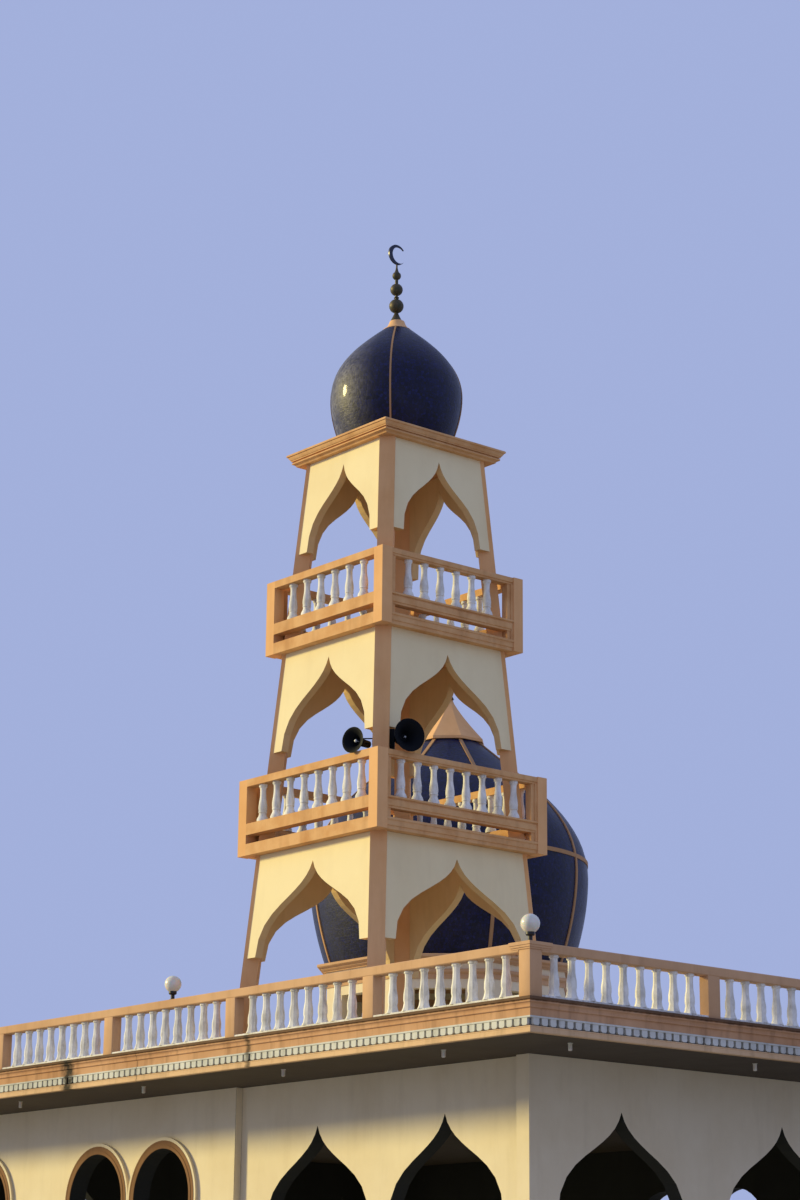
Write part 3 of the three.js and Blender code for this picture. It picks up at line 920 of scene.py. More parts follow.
def turned(
    outline: Sequence[Point2], steps: int, closed: bool = False, start: float = 0.0
) -> Mesh:
    """Turn an outline round the Z axis.

    Args:
        outline: (radius, z) points.
        steps: How many flats or segments the turn has.
        closed: Whether the outline closes on itself, or else starts and ends on the axis.
        start: The angle of the first copy of the outline.

    Returns:
        A new mesh of the solid.
    """
    bm = bmesh.new()
    turn = Matrix.Rotation(start, 3, "Z")
    verts = [bm.verts.new(turn @ Vector((radius, 0.0, z))) for radius, z in outline]
    ends = verts[1:] + verts[:1] if closed else verts[1:]
    edges = [bm.edges.new(pair) for pair in zip(verts, ends)]
    bmesh.ops.spin(
        bm, geom=verts + edges, cent=(0.0, 0.0, 0.0), axis=(0.0, 0.0, 1.0),
        dvec=(0.0, 0.0, 0.0), angle=FULL_TURN, steps=steps, use_merge=True,
        use_normal_flip=False, use_duplicate=False,
    )
    bmesh.ops.remove_doubles(bm, verts=bm.verts[:], dist=WELD)
    return bm


def mitred(
    outline: Sequence[Point2], half_x: float, half_y: float, closed: bool = True
) -> Mesh:
    """Run a moulding round a rectangle, with mitred corners.

    Args:
        outline: (outward, z) points, outward from the rectangle's faces.
        half_x: Half the rectangle's length.
        half_y: Half its width.
        closed: Whether the outline closes on itself, or else starts and ends on the axis.

    Returns:
        A new mesh of the moulding.
    """
    corners = [((half_y + outward) * ROOT_TWO, z) for outward, z in outline]
    bm = turned(corners, 4, closed, QUARTER)
    for sign in (-1.0, 1.0):
        verts = [vert for vert in bm.verts if vert.co.x * sign > WELD]
        bmesh.ops.translate(bm, vec=(sign * (half_x - half_y), 0.0, 0.0), verts=verts)
    return bm


def eight_sided(outline: Sequence[Point2]) -> Mesh:
    """Run a closed outline round an octagon whose flats face along the axes.

    Args:
        outline: (inradius, z) points.

    Returns:
        A new mesh of the moulding.
    """
    half_angle = math.pi / 8.0
    corners = [(inradius / math.cos(half_angle), z) for inradius, z in outline]
    return turned(corners, 8, True, half_angle)


def pour(target: Mesh, part: Mesh, places: Iterable[Matrix]) -> None:
    """Copy a finished part into a mesh, once at each place, and free it.

    Args:
        target: The mesh that takes the copies.
        part: The part.
        places: A transform for each copy.
    """
    bmesh.ops.recalc_face_normals(part, faces=part.faces[:])
    mesh = bpy.data.meshes.new("part")
    part.to_mesh(mesh)
    part.free()
    for place in places:
        first = len(target.verts)
        target.from_mesh(mesh)
        target.verts.ensure_lookup_table()
        bmesh.ops.transform(target, matrix=place, verts=target.verts[first:])
    bpy.data.meshes.remove(mesh)


def gathered(*groups: tuple[Mesh, Iterable[Matrix]]) -> Mesh:
    """Copy finished parts into a new mesh.

    Args:
        groups: Each part, with a transform for each of its copies.

    Returns:
        A new mesh of them all.
    """
    bm = bmesh.new()
    for part, places in groups:
        pour(bm, part, places)
    return bm


def show(
    name: str,
    bm: Mesh,
    materials: Sequence[Material],
    replaced: Sequence[str] = (),
    crease: float = 33.0,
) -> None:
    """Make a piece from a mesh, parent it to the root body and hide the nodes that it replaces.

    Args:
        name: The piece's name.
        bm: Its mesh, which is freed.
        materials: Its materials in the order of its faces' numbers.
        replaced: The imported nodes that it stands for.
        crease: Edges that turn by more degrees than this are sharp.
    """
    bmesh.ops.recalc_face_normals(bm, faces=bm.faces[:])
    for face in bm.faces:
        face.smooth = True
    sharp = math.radians(crease)
    for edge in bm.edges:
        if len(edge.link_faces) == 2:
            edge.smooth = edge.calc_face_angle() < sharp
    mesh = bpy.data.meshes.new(name)
    bm.to_mesh(mesh)
    bm.free()
    for material in materials:
        mesh.materials.append(material)
    piece = bpy.data.objects.new(name, mesh)
    bpy.context.scene.collection.objects.link(piece)
    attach(piece, ROOT_BODY)
    if replaced:
        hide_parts(*replaced)
    LOG.info("%s: %d faces", name, len(mesh.polygons))


def dress(node: str, material: Material) -> None:
    """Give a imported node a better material.

    Args:
        node: The node's name.
        material: Its new material.
    """
    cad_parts[node].material_slots[0].material = material
    LOG.info("%s: %s", node, material.name)


@dataclass
class Baluster:
    """A cast vase between two rails.

    The outline's points are a radius as a share of the belly's, and a height as a share of the
    whole. The roof's hundreds take the plain outline, with a foot, a belly, a slim neck and a cap.
    """

    height: float
    belly: float = 0.0825
    segments: int = 8
    outline: tuple[Point2, ...] = (
        (1.36, 0.0), (1.04, 0.09), (0.88, 0.21), (1.0, 0.28), (0.98, 0.42), (0.74, 0.61),
        (0.68, 0.80), (0.72, 0.92), (0.92, 0.945), (0.92, 1.0),
    )

    def mesh(self) -> Mesh:
        """Turn the baluster.

        Returns:
            A new mesh that stands on the origin.
        """
        points = [(radius * self.belly, z * self.height) for radius, z in self.outline]
        return turned([(0.0, 0.0), *points, (0.0, self.height)], self.segments)


@dataclass(frozen=True)
class Bays:
    """How a side of the roof is divided.

    Attributes:
        count: How many bays it has.
        length: Each bay's length.
        balusters: How many balusters stand in a bay.
        pitch: How far apart they stand.
    """

    count: int
    length: float
    balusters: int
    pitch: float


LONG_BAYS = Bays(count=7, length=3.75, balusters=8, pitch=0.387)
SHORT_BAYS = Bays(count=5, length=3.89, balusters=9, pitch=0.370)


@dataclass
class RoofEdge:
    """The roof's slab, the mouldings round its edge and the dentils under them."""

    palette: Palette
    ledge_out: float = 0.06
    lip: float = 0.10
    dentil_band: float = 0.12
    white_lip: float = 0.03
    recess: float = 0.045
    behind: float = 0.10
    deck_shy: float = 0.004
    dentils_in_bay: int = 22
    dentil_width: float = 0.122
    dentil_short: float = 0.012
    dentil_proud: float = 0.004
    lap: float = 0.01
    hair: float = 0.002
    downlight_pitch: float = 4.19
    downlight_inset: float = 0.68
    downlight_clear: float = 1.0

    def __post_init__(self) -> None:
        """Read the slab's place."""
        low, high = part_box("roof_slab")
        self.half_x = high.x - self.ledge_out
        self.half_y = high.y - self.ledge_out
        self.bottom = low.z
        self.top = high.z

    def build(self) -> None:
        """Build and dress the whole edge."""
        self.build_deck()
        self.build_lip()
        self.build_dentils()
        self.build_fascia()
        self.build_downlights()

    def build_deck(self) -> None:
        """Build the slab, with grey painted shade behind the dentils, dark painted shade under it
        and a screed on top.
        """
        bm = bmesh.new()
        reach_x = self.half_x - self.recess
        reach_y = self.half_y - self.recess
        bottom = self.bottom + self.deck_shy
        block(bm, (-reach_x, -reach_y, bottom), (reach_x, reach_y, self.top - self.deck_shy))
        for face in bm.faces:
            if face.normal.z > 0.5:
                face.material_index = 2
            elif face.normal.z > -0.5:
                face.material_index = 1
        materials = (self.palette.soffit, self.palette.dentil_painted_shade, self.palette.screed)
        show("roof_deck", bm, materials, ["roof_slab"])

    def build_lip(self) -> None:
        """Build the thick lip under the dentils, with a drip groove beneath it."""
        z0 = self.bottom
        z1 = self.bottom + self.lip
        outline = [
            (-self.behind, z0 + 0.002), (-0.030, z0 + 0.002), (-0.030, z0 + 0.014),
            (-0.012, z0 + 0.014), (-0.012, z0), (0.010, z0), (0.015, z0 + 0.006),
            (0.015, z0 + 0.030), (0.008, z0 + 0.036), (0.008, z1 - 0.020), (0.014, z1 - 0.014),
            (0.014, z1 - 0.004), (0.009, z1), (-self.behind, z1),
        ]
        bm = mitred(outline, self.half_x, self.half_y)
        show("roof_lip", bm, [self.palette.lip])

    def build_dentils(self) -> None:
        """Build the white moulding and the round-ended dentils that hang from it."""
        z0 = self.bottom + self.lip + self.dentil_band
        z1 = z0 + self.white_lip
        outline = [
            (-self.behind, z0), (0.006, z0), (0.015, z0 + 0.006), (0.015, z1), (-self.behind, z1),
        ]
        bm = mitred(outline, self.half_x, self.half_y)
        pitches = [bays.length / self.dentils_in_bay for bays in (LONG_BAYS, SHORT_BAYS)]
        places = self.spread(*pitches, self.dentil_width, 0.0, z0)
        pour(bm, self.dentil(), places)
        show("dentil_course", bm, [self.palette.dentil])

    def dentil(self) -> Mesh:
        """Build one dentil, with its two lower corners rounded.

        Returns:
            A new mesh that hangs from the origin and faces -Y.
        """
        bm = bmesh.new()
        drop = self.dentil_band - self.dentil_short
        half = self.dentil_width / 2.0
        high = (half, self.recess + self.lap, self.hair)
        block(bm, (-half, -self.dentil_proud, -drop), high)
        low_edges = [
            edge
            for edge in bm.edges
            if all(vert.co.z < -drop / 2.0 for vert in edge.verts)
            and abs(edge.verts[0].co.x - edge.verts[1].co.x) < WELD
        ]
        round_edges(bm, low_edges, half * 0.5, 3)
        return bm

    def spread(
        self, pitch_x: float, pitch_y: float, clear: float, inset: float, z: float
    ) -> list[Matrix]:
        """Space things evenly along the four sides, out from the middle of each.

        Args:
            pitch_x: Their pitch on the long sides.
            pitch_y: Their pitch on the short sides.
            clear: What stays free at each corner.
            inset: How far they are set in from the edge.
            z: Their height.

        Returns:
            A transform for each, from the front to its side.
        """
        places = []
        for side in Side:
            half, reach = (self.half_x, self.half_y) if side.is_long else (self.half_y, self.half_x)
            pitch = pitch_x if side.is_long else pitch_y
            count = int(2.0 * (half - clear) / pitch)
            for i in range(count + 1):
                x = (i - count / 2.0) * pitch
                places.append(side.turn @ Matrix.Translation((x, inset - reach, z)))
        return places

    def build_fascia(self) -> None:
        """Build the tan mouldings: a flat, a bead, a hollow and the ledge above them."""
        z0 = self.bottom + self.lip + self.dentil_band + self.white_lip
        top = self.top
        out = self.ledge_out
        outline = [
            (-self.behind, z0), (0.0, z0), (0.0, z0 + 0.112), (0.010, z0 + 0.118),
            (0.024, z0 + 0.126), (0.026, z0 + 0.140), (0.018, z0 + 0.150), (0.018, z0 + 0.168),
            (0.024, z0 + 0.185), (0.034, z0 + 0.198), (0.048, z0 + 0.206), (0.048, z0 + 0.222),
            (0.036, z0 + 0.226), (0.036, z0 + 0.238), (out, z0 + 0.246), (out, top - 0.008),
            (out - 0.008, top), (-self.behind, top),
        ]
        bm = mitred(outline, self.half_x, self.half_y)
        show("roof_fascia", bm, [self.palette.fascia])

    def build_downlights(self) -> None:
        """Build the small round lamps under the eaves."""
        outline = [
            (0.0, -0.115), (0.026, -0.115), (0.033, -0.105), (0.033, 0.0), (0.045, 0.0),
            (0.045, 0.012), (0.0, 0.012),
        ]
        pitch = self.downlight_pitch
        inset = self.downlight_inset
        places = self.spread(pitch, pitch, self.downlight_clear, inset, self.bottom)
        lamps = gathered((turned(outline, 16), places))
        show("eaves_lamps", lamps, [self.palette.opal])


@dataclass
class Balustrade:
    """The balustrade round the roof: rails, posts, corner caps and turned balusters."""

    palette: Palette
    side: Side
    bays: Bays
    corners: bool
    post: float = 0.25
    middle_post: float = 0.27
    depth: float = 0.20
    rail: float = 0.15
    rail_proud: float = 0.006
    rail_ease: float = 0.014
    kerb: float = 0.04
    kerb_in: float = 0.008
    ease: float = 0.006
    lap: float = 0.01
    cap: float = 0.11
    cap_out: float = 0.04
    cap_inward: float = 0.19
    cap_rise: float = 0.005

    def __post_init__(self) -> None:
        """Read the balustrade's place and work out its heights."""
        low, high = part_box(f"parapet_{self.side.label}")
        self.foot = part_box("roof_slab")[1].z
        self.head = high.z - (self.cap_rise if self.corners else 0.0)
        self.rail_foot = self.head - self.rail
        outer = {
            Side.FRONT: -low.y, Side.BACK: high.y, Side.RIGHT: high.x, Side.LEFT: -low.x
        }[self.side]
        self.reach = outer - (self.cap_out if self.corners else 0.0)
        self.half = (self.bays.count * self.bays.length + self.post) / 2.0
        self.end = self.half - self.post

    @property
    def place(self) -> Matrix:
        """The transform from a run along X with its face at y = 0 to the roof."""
        return self.side.turn @ Matrix.Translation((0.0, -self.reach, 0.0))

    def post_centres(self) -> list[float]:
        """Give the posts' places along the run, the corner posts included."""
        first = -self.half + self.post / 2.0
        return [first + i * self.bays.length for i in range(self.bays.count + 1)]

    def build(self) -> None:
        """Build the rails and the balusters."""
        name = self.side.label
        rails = gathered((self.rails(), [self.place]))
        show(f"{name}_balustrade", rails, [self.palette.rail], [f"parapet_{name}"])
        balusters = gathered((self.row(), [self.place]))
        show(f"{name}_balusters", balusters, [self.palette.baluster])

    def rails(self) -> Mesh:
        """Build the top rail and the posts, and the corner posts with their caps.

        Returns:
            A new mesh of the run.
        """
        bm = bmesh.new()
        back = self.depth + self.rail_proud
        section = eased(-self.rail_proud, back, self.rail_foot, self.head, self.rail_ease)
        run(bm, section, -self.end, self.end)
        half_post = self.middle_post / 2.0
        for x in self.post_centres()[1:-1]:
            high = (x + half_post, self.depth, self.rail_foot + self.lap)
            block(bm, (x - half_post, 0.0, self.foot), high, self.ease)
        if self.corners:
            self.corner(bm)
            other = bmesh.new()
            self.corner(other)
            bmesh.ops.scale(other, vec=(-1.0, 1.0, 1.0), verts=other.verts[:])
            bmesh.ops.recalc_face_normals(other, faces=other.faces[:])
            pour(bm, other, [Matrix.Identity(4)])
        return bm

    def corner(self, bm: Mesh) -> None:
        """Build the corner post at the run's start, and its cap along both rails.

        Args:
            bm: The mesh to add to.
        """
        start = -self.half
        foot = self.head - self.cap
        high = (start + self.post, self.post, foot + self.lap)
        block(bm, (start, 0.0, self.foot), high, self.ease)
        for share, z0, z1 in (
            (0.35, foot, foot + 0.032),
            (0.70, foot + 0.028, foot + 0.068),
            (1.0, foot + 0.064, self.head + self.cap_rise),
        ):
            upright(bm, self.cap_outline(share * self.cap_out), z0, z1)

    def cap_outline(self, out: float) -> list[Point2]:
        """Give the corner cap's outline, an L that lies along both rails.

        Args:
            out: How far it stands out past the rails.

        Returns:
            Its (x, y) corners in order.
        """
        start = -self.half
        long = self.post + self.cap_inward + out - self.cap_out
        wide = self.depth + out
        return [
            (start - out, -out), (start + long, -out), (start + long, wide), (start + wide, wide),
            (start + wide, long), (start - out, long),
        ]

    def row(self) -> Mesh:
        """Build the balusters of every bay on their kerb.

        Returns:
            A new mesh of the run.
        """
        bm = bmesh.new()
        top = self.foot + self.kerb
        section = eased(self.kerb_in, self.depth - self.kerb_in, self.foot, top, self.ease)
        run(bm, section, -self.end, self.end)
        count = self.bays.balusters
        centres = self.post_centres()
        places = []
        for left, right in zip(centres, centres[1:]):
            for i in range(count):
                x = (left + right) / 2.0 + self.bays.pitch * (i - (count - 1) / 2.0)
                places.append(Matrix.Translation((x, self.depth / 2.0, top)))
        pour(bm, Baluster(self.rail_foot - self.foot - self.kerb).mesh(), places)
        return bm


@dataclass
class Balcony:
    """One of the minaret's square balconies: its slab, framed rails and balusters.

    The front and the back are one flush plate. On the other two sides the posts stand proud, with
    stepped strips beside them and moulded rails between.

    Attributes:
        level: Which balcony it is.
        balusters: How many balusters a side has.
        pitch: Their pitch on the front and the back.
        centre: The minaret's axis in plan.
        strips: Each strip's near and far edge from the post, and how far it is set in.
    """

    palette: Palette
    level: str
    balusters: int
    pitch: float
    centre: Point2
    side_pitch: float = 0.368
    side_shift: float = 0.035
    post: float = 0.22
    post_proud: float = 0.016
    post_ease: float = 0.006
    depth: float = 0.19
    set_in: float = 0.115
    slot: float = 0.16
    foot_rail: float = 0.205
    opening: float = 0.67
    slab_in: float = 0.05
    slab_rise: float = 0.006
    screed_rise: float = 0.02
    hair: float = 0.002
    lap: float = 0.01
    strips: tuple[Point3, ...] = ((0.0, 0.040, 0.012), (0.035, 0.115, 0.040))
    vase: tuple[Point2, ...] = (
        (1.34, 0.0), (1.34, 0.055), (1.20, 0.10), (0.98, 0.145), (0.86, 0.19), (0.85, 0.225),
        (0.97, 0.245), (0.97, 0.27), (0.91, 0.285), (1.0, 0.35), (0.99, 0.41), (0.89, 0.51),
        (0.75, 0.61), (0.68, 0.70), (0.66, 0.82), (0.71, 0.90), (0.95, 0.935), (0.95, 1.0),
    )

    def __post_init__(self) -> None:
        """Read the balcony's place and work out its heights."""
        low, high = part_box(f"{self.level}_balcony_slab")
        rail_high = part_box(f"{self.level}_balcony_front")[1]
        self.half = (high.x - low.x) / 2.0
        self.bottom = low.z
        self.floor = high.z
        self.head = rail_high.z
        self.foot_z = self.floor + self.slot
        self.open_z = self.foot_z + self.foot_rail
        self.rail_z = self.open_z + self.opening
        self.inner = self.half - self.post
        self.face = -self.half
        self.back = self.face + self.depth

    def places(self, *sides: Side) -> list[Matrix]:
        """Give the transforms from a side that faces -Y to some of the four sides.

        Args:
            sides: The sides.

        Returns:
            A transform for each side.
        """
        centre = Matrix.Translation((*self.centre, 0.0))
        return [centre @ side.turn for side in sides]

    def build(self) -> None:
        """Build the slab, the frame and the balusters."""
        palette = self.palette
        name = f"{self.level}_balcony"
        here = self.places(Side.FRONT)
        slab = gathered((self.slab(), here))
        show(f"{name}_slab_body", slab, [palette.tan], [f"{name}_slab"])
        floor = gathered((self.screed(), here))
        show(f"{name}_floor", floor, [palette.balcony_floor])
        show(f"{name}_posts", gathered((self.posts(), here)), [palette.tan])
        rails = gathered(
            (self.flush_side(), self.places(Side.FRONT, Side.BACK)),
            (self.moulded_side(), self.places(Side.RIGHT, Side.LEFT)),
        )
        nodes = [f"{name}_{side.label}" for side in Side]
        show(f"{name}_frame", rails, [palette.band], nodes)
        rows = gathered(
            (self.row(self.pitch, 0.0), self.places(Side.FRONT, Side.BACK)),
            (self.row(self.side_pitch, -self.side_shift), self.places(Side.RIGHT)),
            (self.row(self.side_pitch, self.side_shift), self.places(Side.LEFT)),
        )
        show(f"{name}_balusters", rows, [palette.baluster])

    def slab(self) -> Mesh:
        """Build the slab behind its faces.

        Returns:
            A new mesh, centred on the axis.
        """
        bm = bmesh.new()
        reach = self.half - self.slab_in
        low = (-reach, -reach, self.bottom + self.slab_rise)
        block(bm, low, (reach, reach, self.floor - self.hair))
        return bm

    def screed(self) -> Mesh:
        """Build the thin screed on the slab.

        Returns:
            A new mesh, centred on the axis.
        """
        bm = bmesh.new()
        reach = self.half - self.depth - self.hair
        low = (-reach, -reach, self.floor - self.lap)
        block(bm, low, (reach, reach, self.floor + self.screed_rise))
        return bm

    def posts(self) -> Mesh:
        """Build the four corner posts, from the slab's bottom to the top rail's head.

        Returns:
            A new mesh, centred on the axis.
        """
        bm = bmesh.new()
        for turned_x in (-1.0, 1.0):
            far = turned_x * (self.half + self.post_proud)
            shy = far - turned_x * self.post_ease
            near = turned_x * self.inner
            for turned_y in (-1.0, 1.0):
                face = turned_y * self.half
                outline = [
                    (near, turned_y * self.inner), (near, face), (shy, face),
                    (far, face - turned_y * self.post_ease), (far, turned_y * self.inner),
                ]
                upright(bm, outline, self.bottom, self.head)
        return bm

    def flush_side(self) -> Mesh:
        """Build the rails and the slab's face as one flush plate with a slot.

        Returns:
            A new mesh that faces -Y, centred on the axis.
        """
        bm = bmesh.new()
        face, back = self.face, self.back
        heights = (self.bottom, self.floor, self.foot_z, self.open_z, self.rail_z, self.head)
        for z0, z1 in zip(heights[::2], heights[1::2]):
            corners = [(face, z0), (back, z0), (back, z1), (face, z1)]
            run(bm, corners, -self.inner, self.inner)
        return bm

    def moulded_side(self) -> Mesh:
        """Build the moulded rails, the slab's stepped face and the strips beside the posts.

        Returns:
            A new mesh that faces -Y, centred on the axis.
        """
        bm = bmesh.new()
        face, back = self.face, self.back
        z, floor = self.bottom, self.floor
        slab_face = [
            (back, z), (face + 0.022, z), (face + 0.022, z + 0.058), (face + 0.004, z + 0.068),
            (face + 0.004, floor - 0.050), (face - 0.010, floor - 0.042),
            (face - 0.010, floor - 0.006), (face - 0.002, floor), (back, floor),
        ]
        z0, z1 = self.foot_z, self.open_z
        foot_rail = [
            (back, z0), (face + 0.026, z0), (face + 0.026, z0 + 0.034),
            (face + 0.010, z0 + 0.042), (face + 0.010, z1 - 0.062), (face + 0.020, z1 - 0.054),
            (face + 0.020, z1 - 0.042), (face - 0.012, z1 - 0.032), (face - 0.012, z1 - 0.006),
            (face - 0.004, z1), (back, z1),
        ]
        z0, z1 = self.rail_z, self.head
        top_rail = [
            (back, z0), (face + 0.024, z0), (face + 0.024, z0 + 0.030),
            (face + 0.004, z0 + 0.038), (face + 0.004, z1 - 0.010), (face + 0.012, z1 - 0.003),
            (back, z1 - 0.003),
        ]
        for outline in (slab_face, foot_rail, top_rail):
            run(bm, outline, -self.inner, self.inner)
        lap = self.lap / 2.0
        for sign in (-1.0, 1.0):
            for near, far, set_in in self.strips:
                x0, x1 = sorted((sign * (self.inner - near), sign * (self.inner - far)))
                low = (x0, face + set_in, floor - lap)
                block(bm, low, (x1, back - self.lap, self.rail_z + lap))
        return bm

    def row(self, pitch: float, shift: float) -> Mesh:
        """Build one side's balusters.

        Args:
            pitch: How far apart they stand.
            shift: How far the row is off the side's middle.

        Returns:
            A new mesh that faces -Y, centred on the axis.
        """
        y = self.face + self.set_in
        first = shift - pitch * (self.balusters - 1) / 2.0
        places = [
            Matrix.Translation((first + pitch * i, y, self.open_z))
            for i in range(self.balusters)
        ]
        vase = Baluster(self.opening, belly=0.079, segments=12, outline=self.vase)
        return gathered((vase.mesh(), places))


@dataclass
class DomeShape:
    """An onion dome's outline, from its foot over its widest ring up to its neck.

    Attributes:
        node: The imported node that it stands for.
        foot: Its radius at the foot.
        widest_z: The height of its widest ring.
        neck: Its radius at the neck.
        shoulder: How full it is above its widest ring.
    """

    node: str
    foot: float
    widest_z: float
    neck: float
    shoulder: float

    def __post_init__(self) -> None:
        """Read the dome's place."""
        low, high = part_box(self.node)
        self.centre = plan_centre(self.node)
        self.radius = (high.x - low.x) / 2.0
        self.foot_z = low.z
        self.neck_z = high.z

    def outline(self, grown: float = 0.0, steps: int = 14) -> list[Point2]:
        """Give the dome's outline.

        Args:
            grown: How far it is moved outwards.
            steps: How many points each of its two curves has.

        Returns:
            (radius, z) points from the foot to the neck.
        """
        radius, widest = self.radius, self.widest_z
        swell = widest - self.foot_z
        rise = self.neck_z - widest
        low = (
            (self.foot, self.foot_z),
            (self.foot + (radius - self.foot) * 0.6, self.foot_z + swell * 0.33),
            (radius, self.foot_z + swell * 0.67),
            (radius, widest),
        )
        high = (
            (radius, widest),
            (radius, widest + rise * 0.42),
            (radius * self.shoulder, widest + rise * 0.68),
            (self.neck, self.neck_z),
        )
        below = interpolate_bezier(*map(Vector, low), steps)
        above = interpolate_bezier(*map(Vector, high), steps + 4)
        points = [*below[:-1], *above]
        moved = []
        for i, point in enumerate(points):
            ahead = points[min(i + 1, len(points) - 1)]
            behind = points[max(i - 1, 0)]
            along = (ahead - behind).normalized()
            moved.append((point.x + along.y * grown, point.y - along.x * grown))
        return moved

    def shell(self, steps: int, thickness: float) -> Mesh:
        """Turn the dome as a shell that is open below.

        Args:
            steps: How many segments the turn has.
            thickness: The shell's thickness.

        Returns:
            A new mesh on the Z axis.
        """
        outer = self.outline()
        inner = [(radius, max(z, self.foot_z)) for radius, z in self.outline(-thickness, 8)]
        top = (0.0, self.neck_z)
        under = (0.0, inner[-1][1])
        return turned([under, *reversed(inner), *outer, top], steps)

    def rib(self, width: float, proud: float) -> Mesh:
        """Bend a flat bar along the outline.

        Args:
            width: The bar's width.
            proud: How far it stands out of the dome.

        Returns:
            A new mesh of the rib in the X, Z plane.
        """
        bm = bmesh.new()
        edges = []
        for grown in (-proud, proud):
            verts = [bm.verts.new((r, -width / 2.0, z)) for r, z in self.outline(grown)]
            edges += [bm.edges.new(pair) for pair in zip(verts, verts[1:])]
        pull(bm, bmesh.ops.bridge_loops(bm, edges=edges)["faces"], (0.0, width, 0.0))
        return bm

    def ribs(self, count: int, first: float, width: float, proud: float) -> Mesh:
        """Set ribs round the dome.

        Args:
            count: How many there are.
            first: The first one's angle in degrees.
            width: Each bar's width.
            proud: How far each stands out of the dome.

        Returns:
            A new mesh of all the ribs in their places.
        """
        centre = Matrix.Translation((*self.centre, 0.0))
        turns = [math.radians(first + i * 360.0 / count) for i in range(count)]
        places = [centre @ Matrix.Rotation(turn, 4, "Z") for turn in turns]
        return gathered((self.rib(width, proud), places))


@dataclass
class Finial:
    """A stem with three balls, and a spike on the last of them that carries a crescent.

    Attributes:
        node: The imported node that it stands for.
        foot: Its radius at the foot.
        stem: The stem's radius.
        balls: Each ball's height, its radius, and the radius where it meets what it carries.
        tip: The spike's radius at its top.
        top: The spike's height.
        crescent: The crescent's outer radius.
        bite: The radius of what is cut out of it.
        shift: How far that is off its centre.
        sunk: How far the crescent sits down over the spike.
    """

    palette: Palette
    node: str
    foot: float = 0.11
    stem: float = 0.029
    foot_height: float = 0.19
    balls: tuple[Point3, ...] = (
        (0.311, 0.137, 0.029), (0.641, 0.118, 0.031), (0.921, 0.082, 0.043),
    )
    ball_steps: int = 10
    ring_gap: float = 0.030
    tip: float = 0.014
    top: float = 1.166
    crescent: float = 0.196
    bite: float = 0.162
    shift: float = 0.046
    sunk: float = 0.014
    thickness: float = 0.034
    arc_steps: int = 40

    def build(self) -> None:
        """Build the finial in place of its node."""
        foot = (*plan_centre(self.node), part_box(self.node)[0].z)
        place = Matrix.Translation(foot) @ Matrix.Rotation(2.0 * QUARTER, 4, "Z")
        stem = gathered((turned(self.outline(), 28), [place]))
        show(f"{self.node}_bronze", stem, [self.palette.bronze], [self.node])
        moon = gathered((self.moon(), [place]))
        show(f"{self.node}_crescent", moon, [self.palette.crescent])

    def outline(self) -> list[Point2]:
        """Give the stem's outline: a hollow foot, a ring over the lowest ball, and a spike.

        Returns:
            (radius, z) points that start and end on the axis.
        """
        stem, tip, top = self.stem, self.tip, self.top
        points = [
            (0.0, 0.0), (self.foot, 0.0), (self.foot * 0.93, 0.022), (self.foot * 0.79, 0.055),
            (self.foot * 0.60, 0.100), (self.foot * 0.40, 0.148), (stem, self.foot_height),
        ]
        for z, radius, neck in self.balls:
            start = math.asin(stem / radius)
            end = math.pi - math.asin(neck / radius)
            for i in range(self.ball_steps + 1):
                angle = start + (end - start) * i / self.ball_steps
                points.append((radius * math.sin(angle), z - radius * math.cos(angle)))
            if neck == stem:
                ring = z + radius + self.ring_gap
                points += [
                    (stem, ring - 0.014), (stem * 1.7, ring - 0.006), (stem * 1.7, ring + 0.006),
                    (stem, ring + 0.014),
                ]
        spike = top - self.balls[-1][0] - self.balls[-1][1]
        points += [
            (tip * 1.9, top - spike * 0.8), (tip * 1.3, top - spike * 0.5), (tip, top),
            (0.0, top + 0.01),
        ]
        return points

    def moon(self) -> Mesh:
        """Cut the crescent out of plate.

        Returns:
            A new mesh that stands on the stem and opens towards +X.
        """
        across = self.crescent**2 - self.bite**2 + self.shift**2
        tip_x = across / (2.0 * self.shift)
        outer_start = math.acos(tip_x / self.crescent)
        inner_start = math.acos((tip_x - self.shift) / self.bite)
        centre_z = self.top + self.crescent - self.sunk
        edge = []
        for i in range(self.arc_steps + 1):
            share = i / self.arc_steps
            angle = outer_start + (FULL_TURN - 2.0 * outer_start) * share
            edge.append((self.crescent * math.cos(angle), self.crescent * math.sin(angle)))
        for i in range(1, self.arc_steps):
            share = i / self.arc_steps
            angle = FULL_TURN - inner_start - (FULL_TURN - 2.0 * inner_start) * share
            x = self.shift + self.bite * math.cos(angle)
            edge.append((x, self.bite * math.sin(angle)))
        bm = bmesh.new()
        half = self.thickness / 2.0
        face = bm.faces.new([bm.verts.new((x, -half, centre_z + z)) for x, z in edge])
        pull(bm, [face], (0.0, self.thickness, 0.0))
        return bm


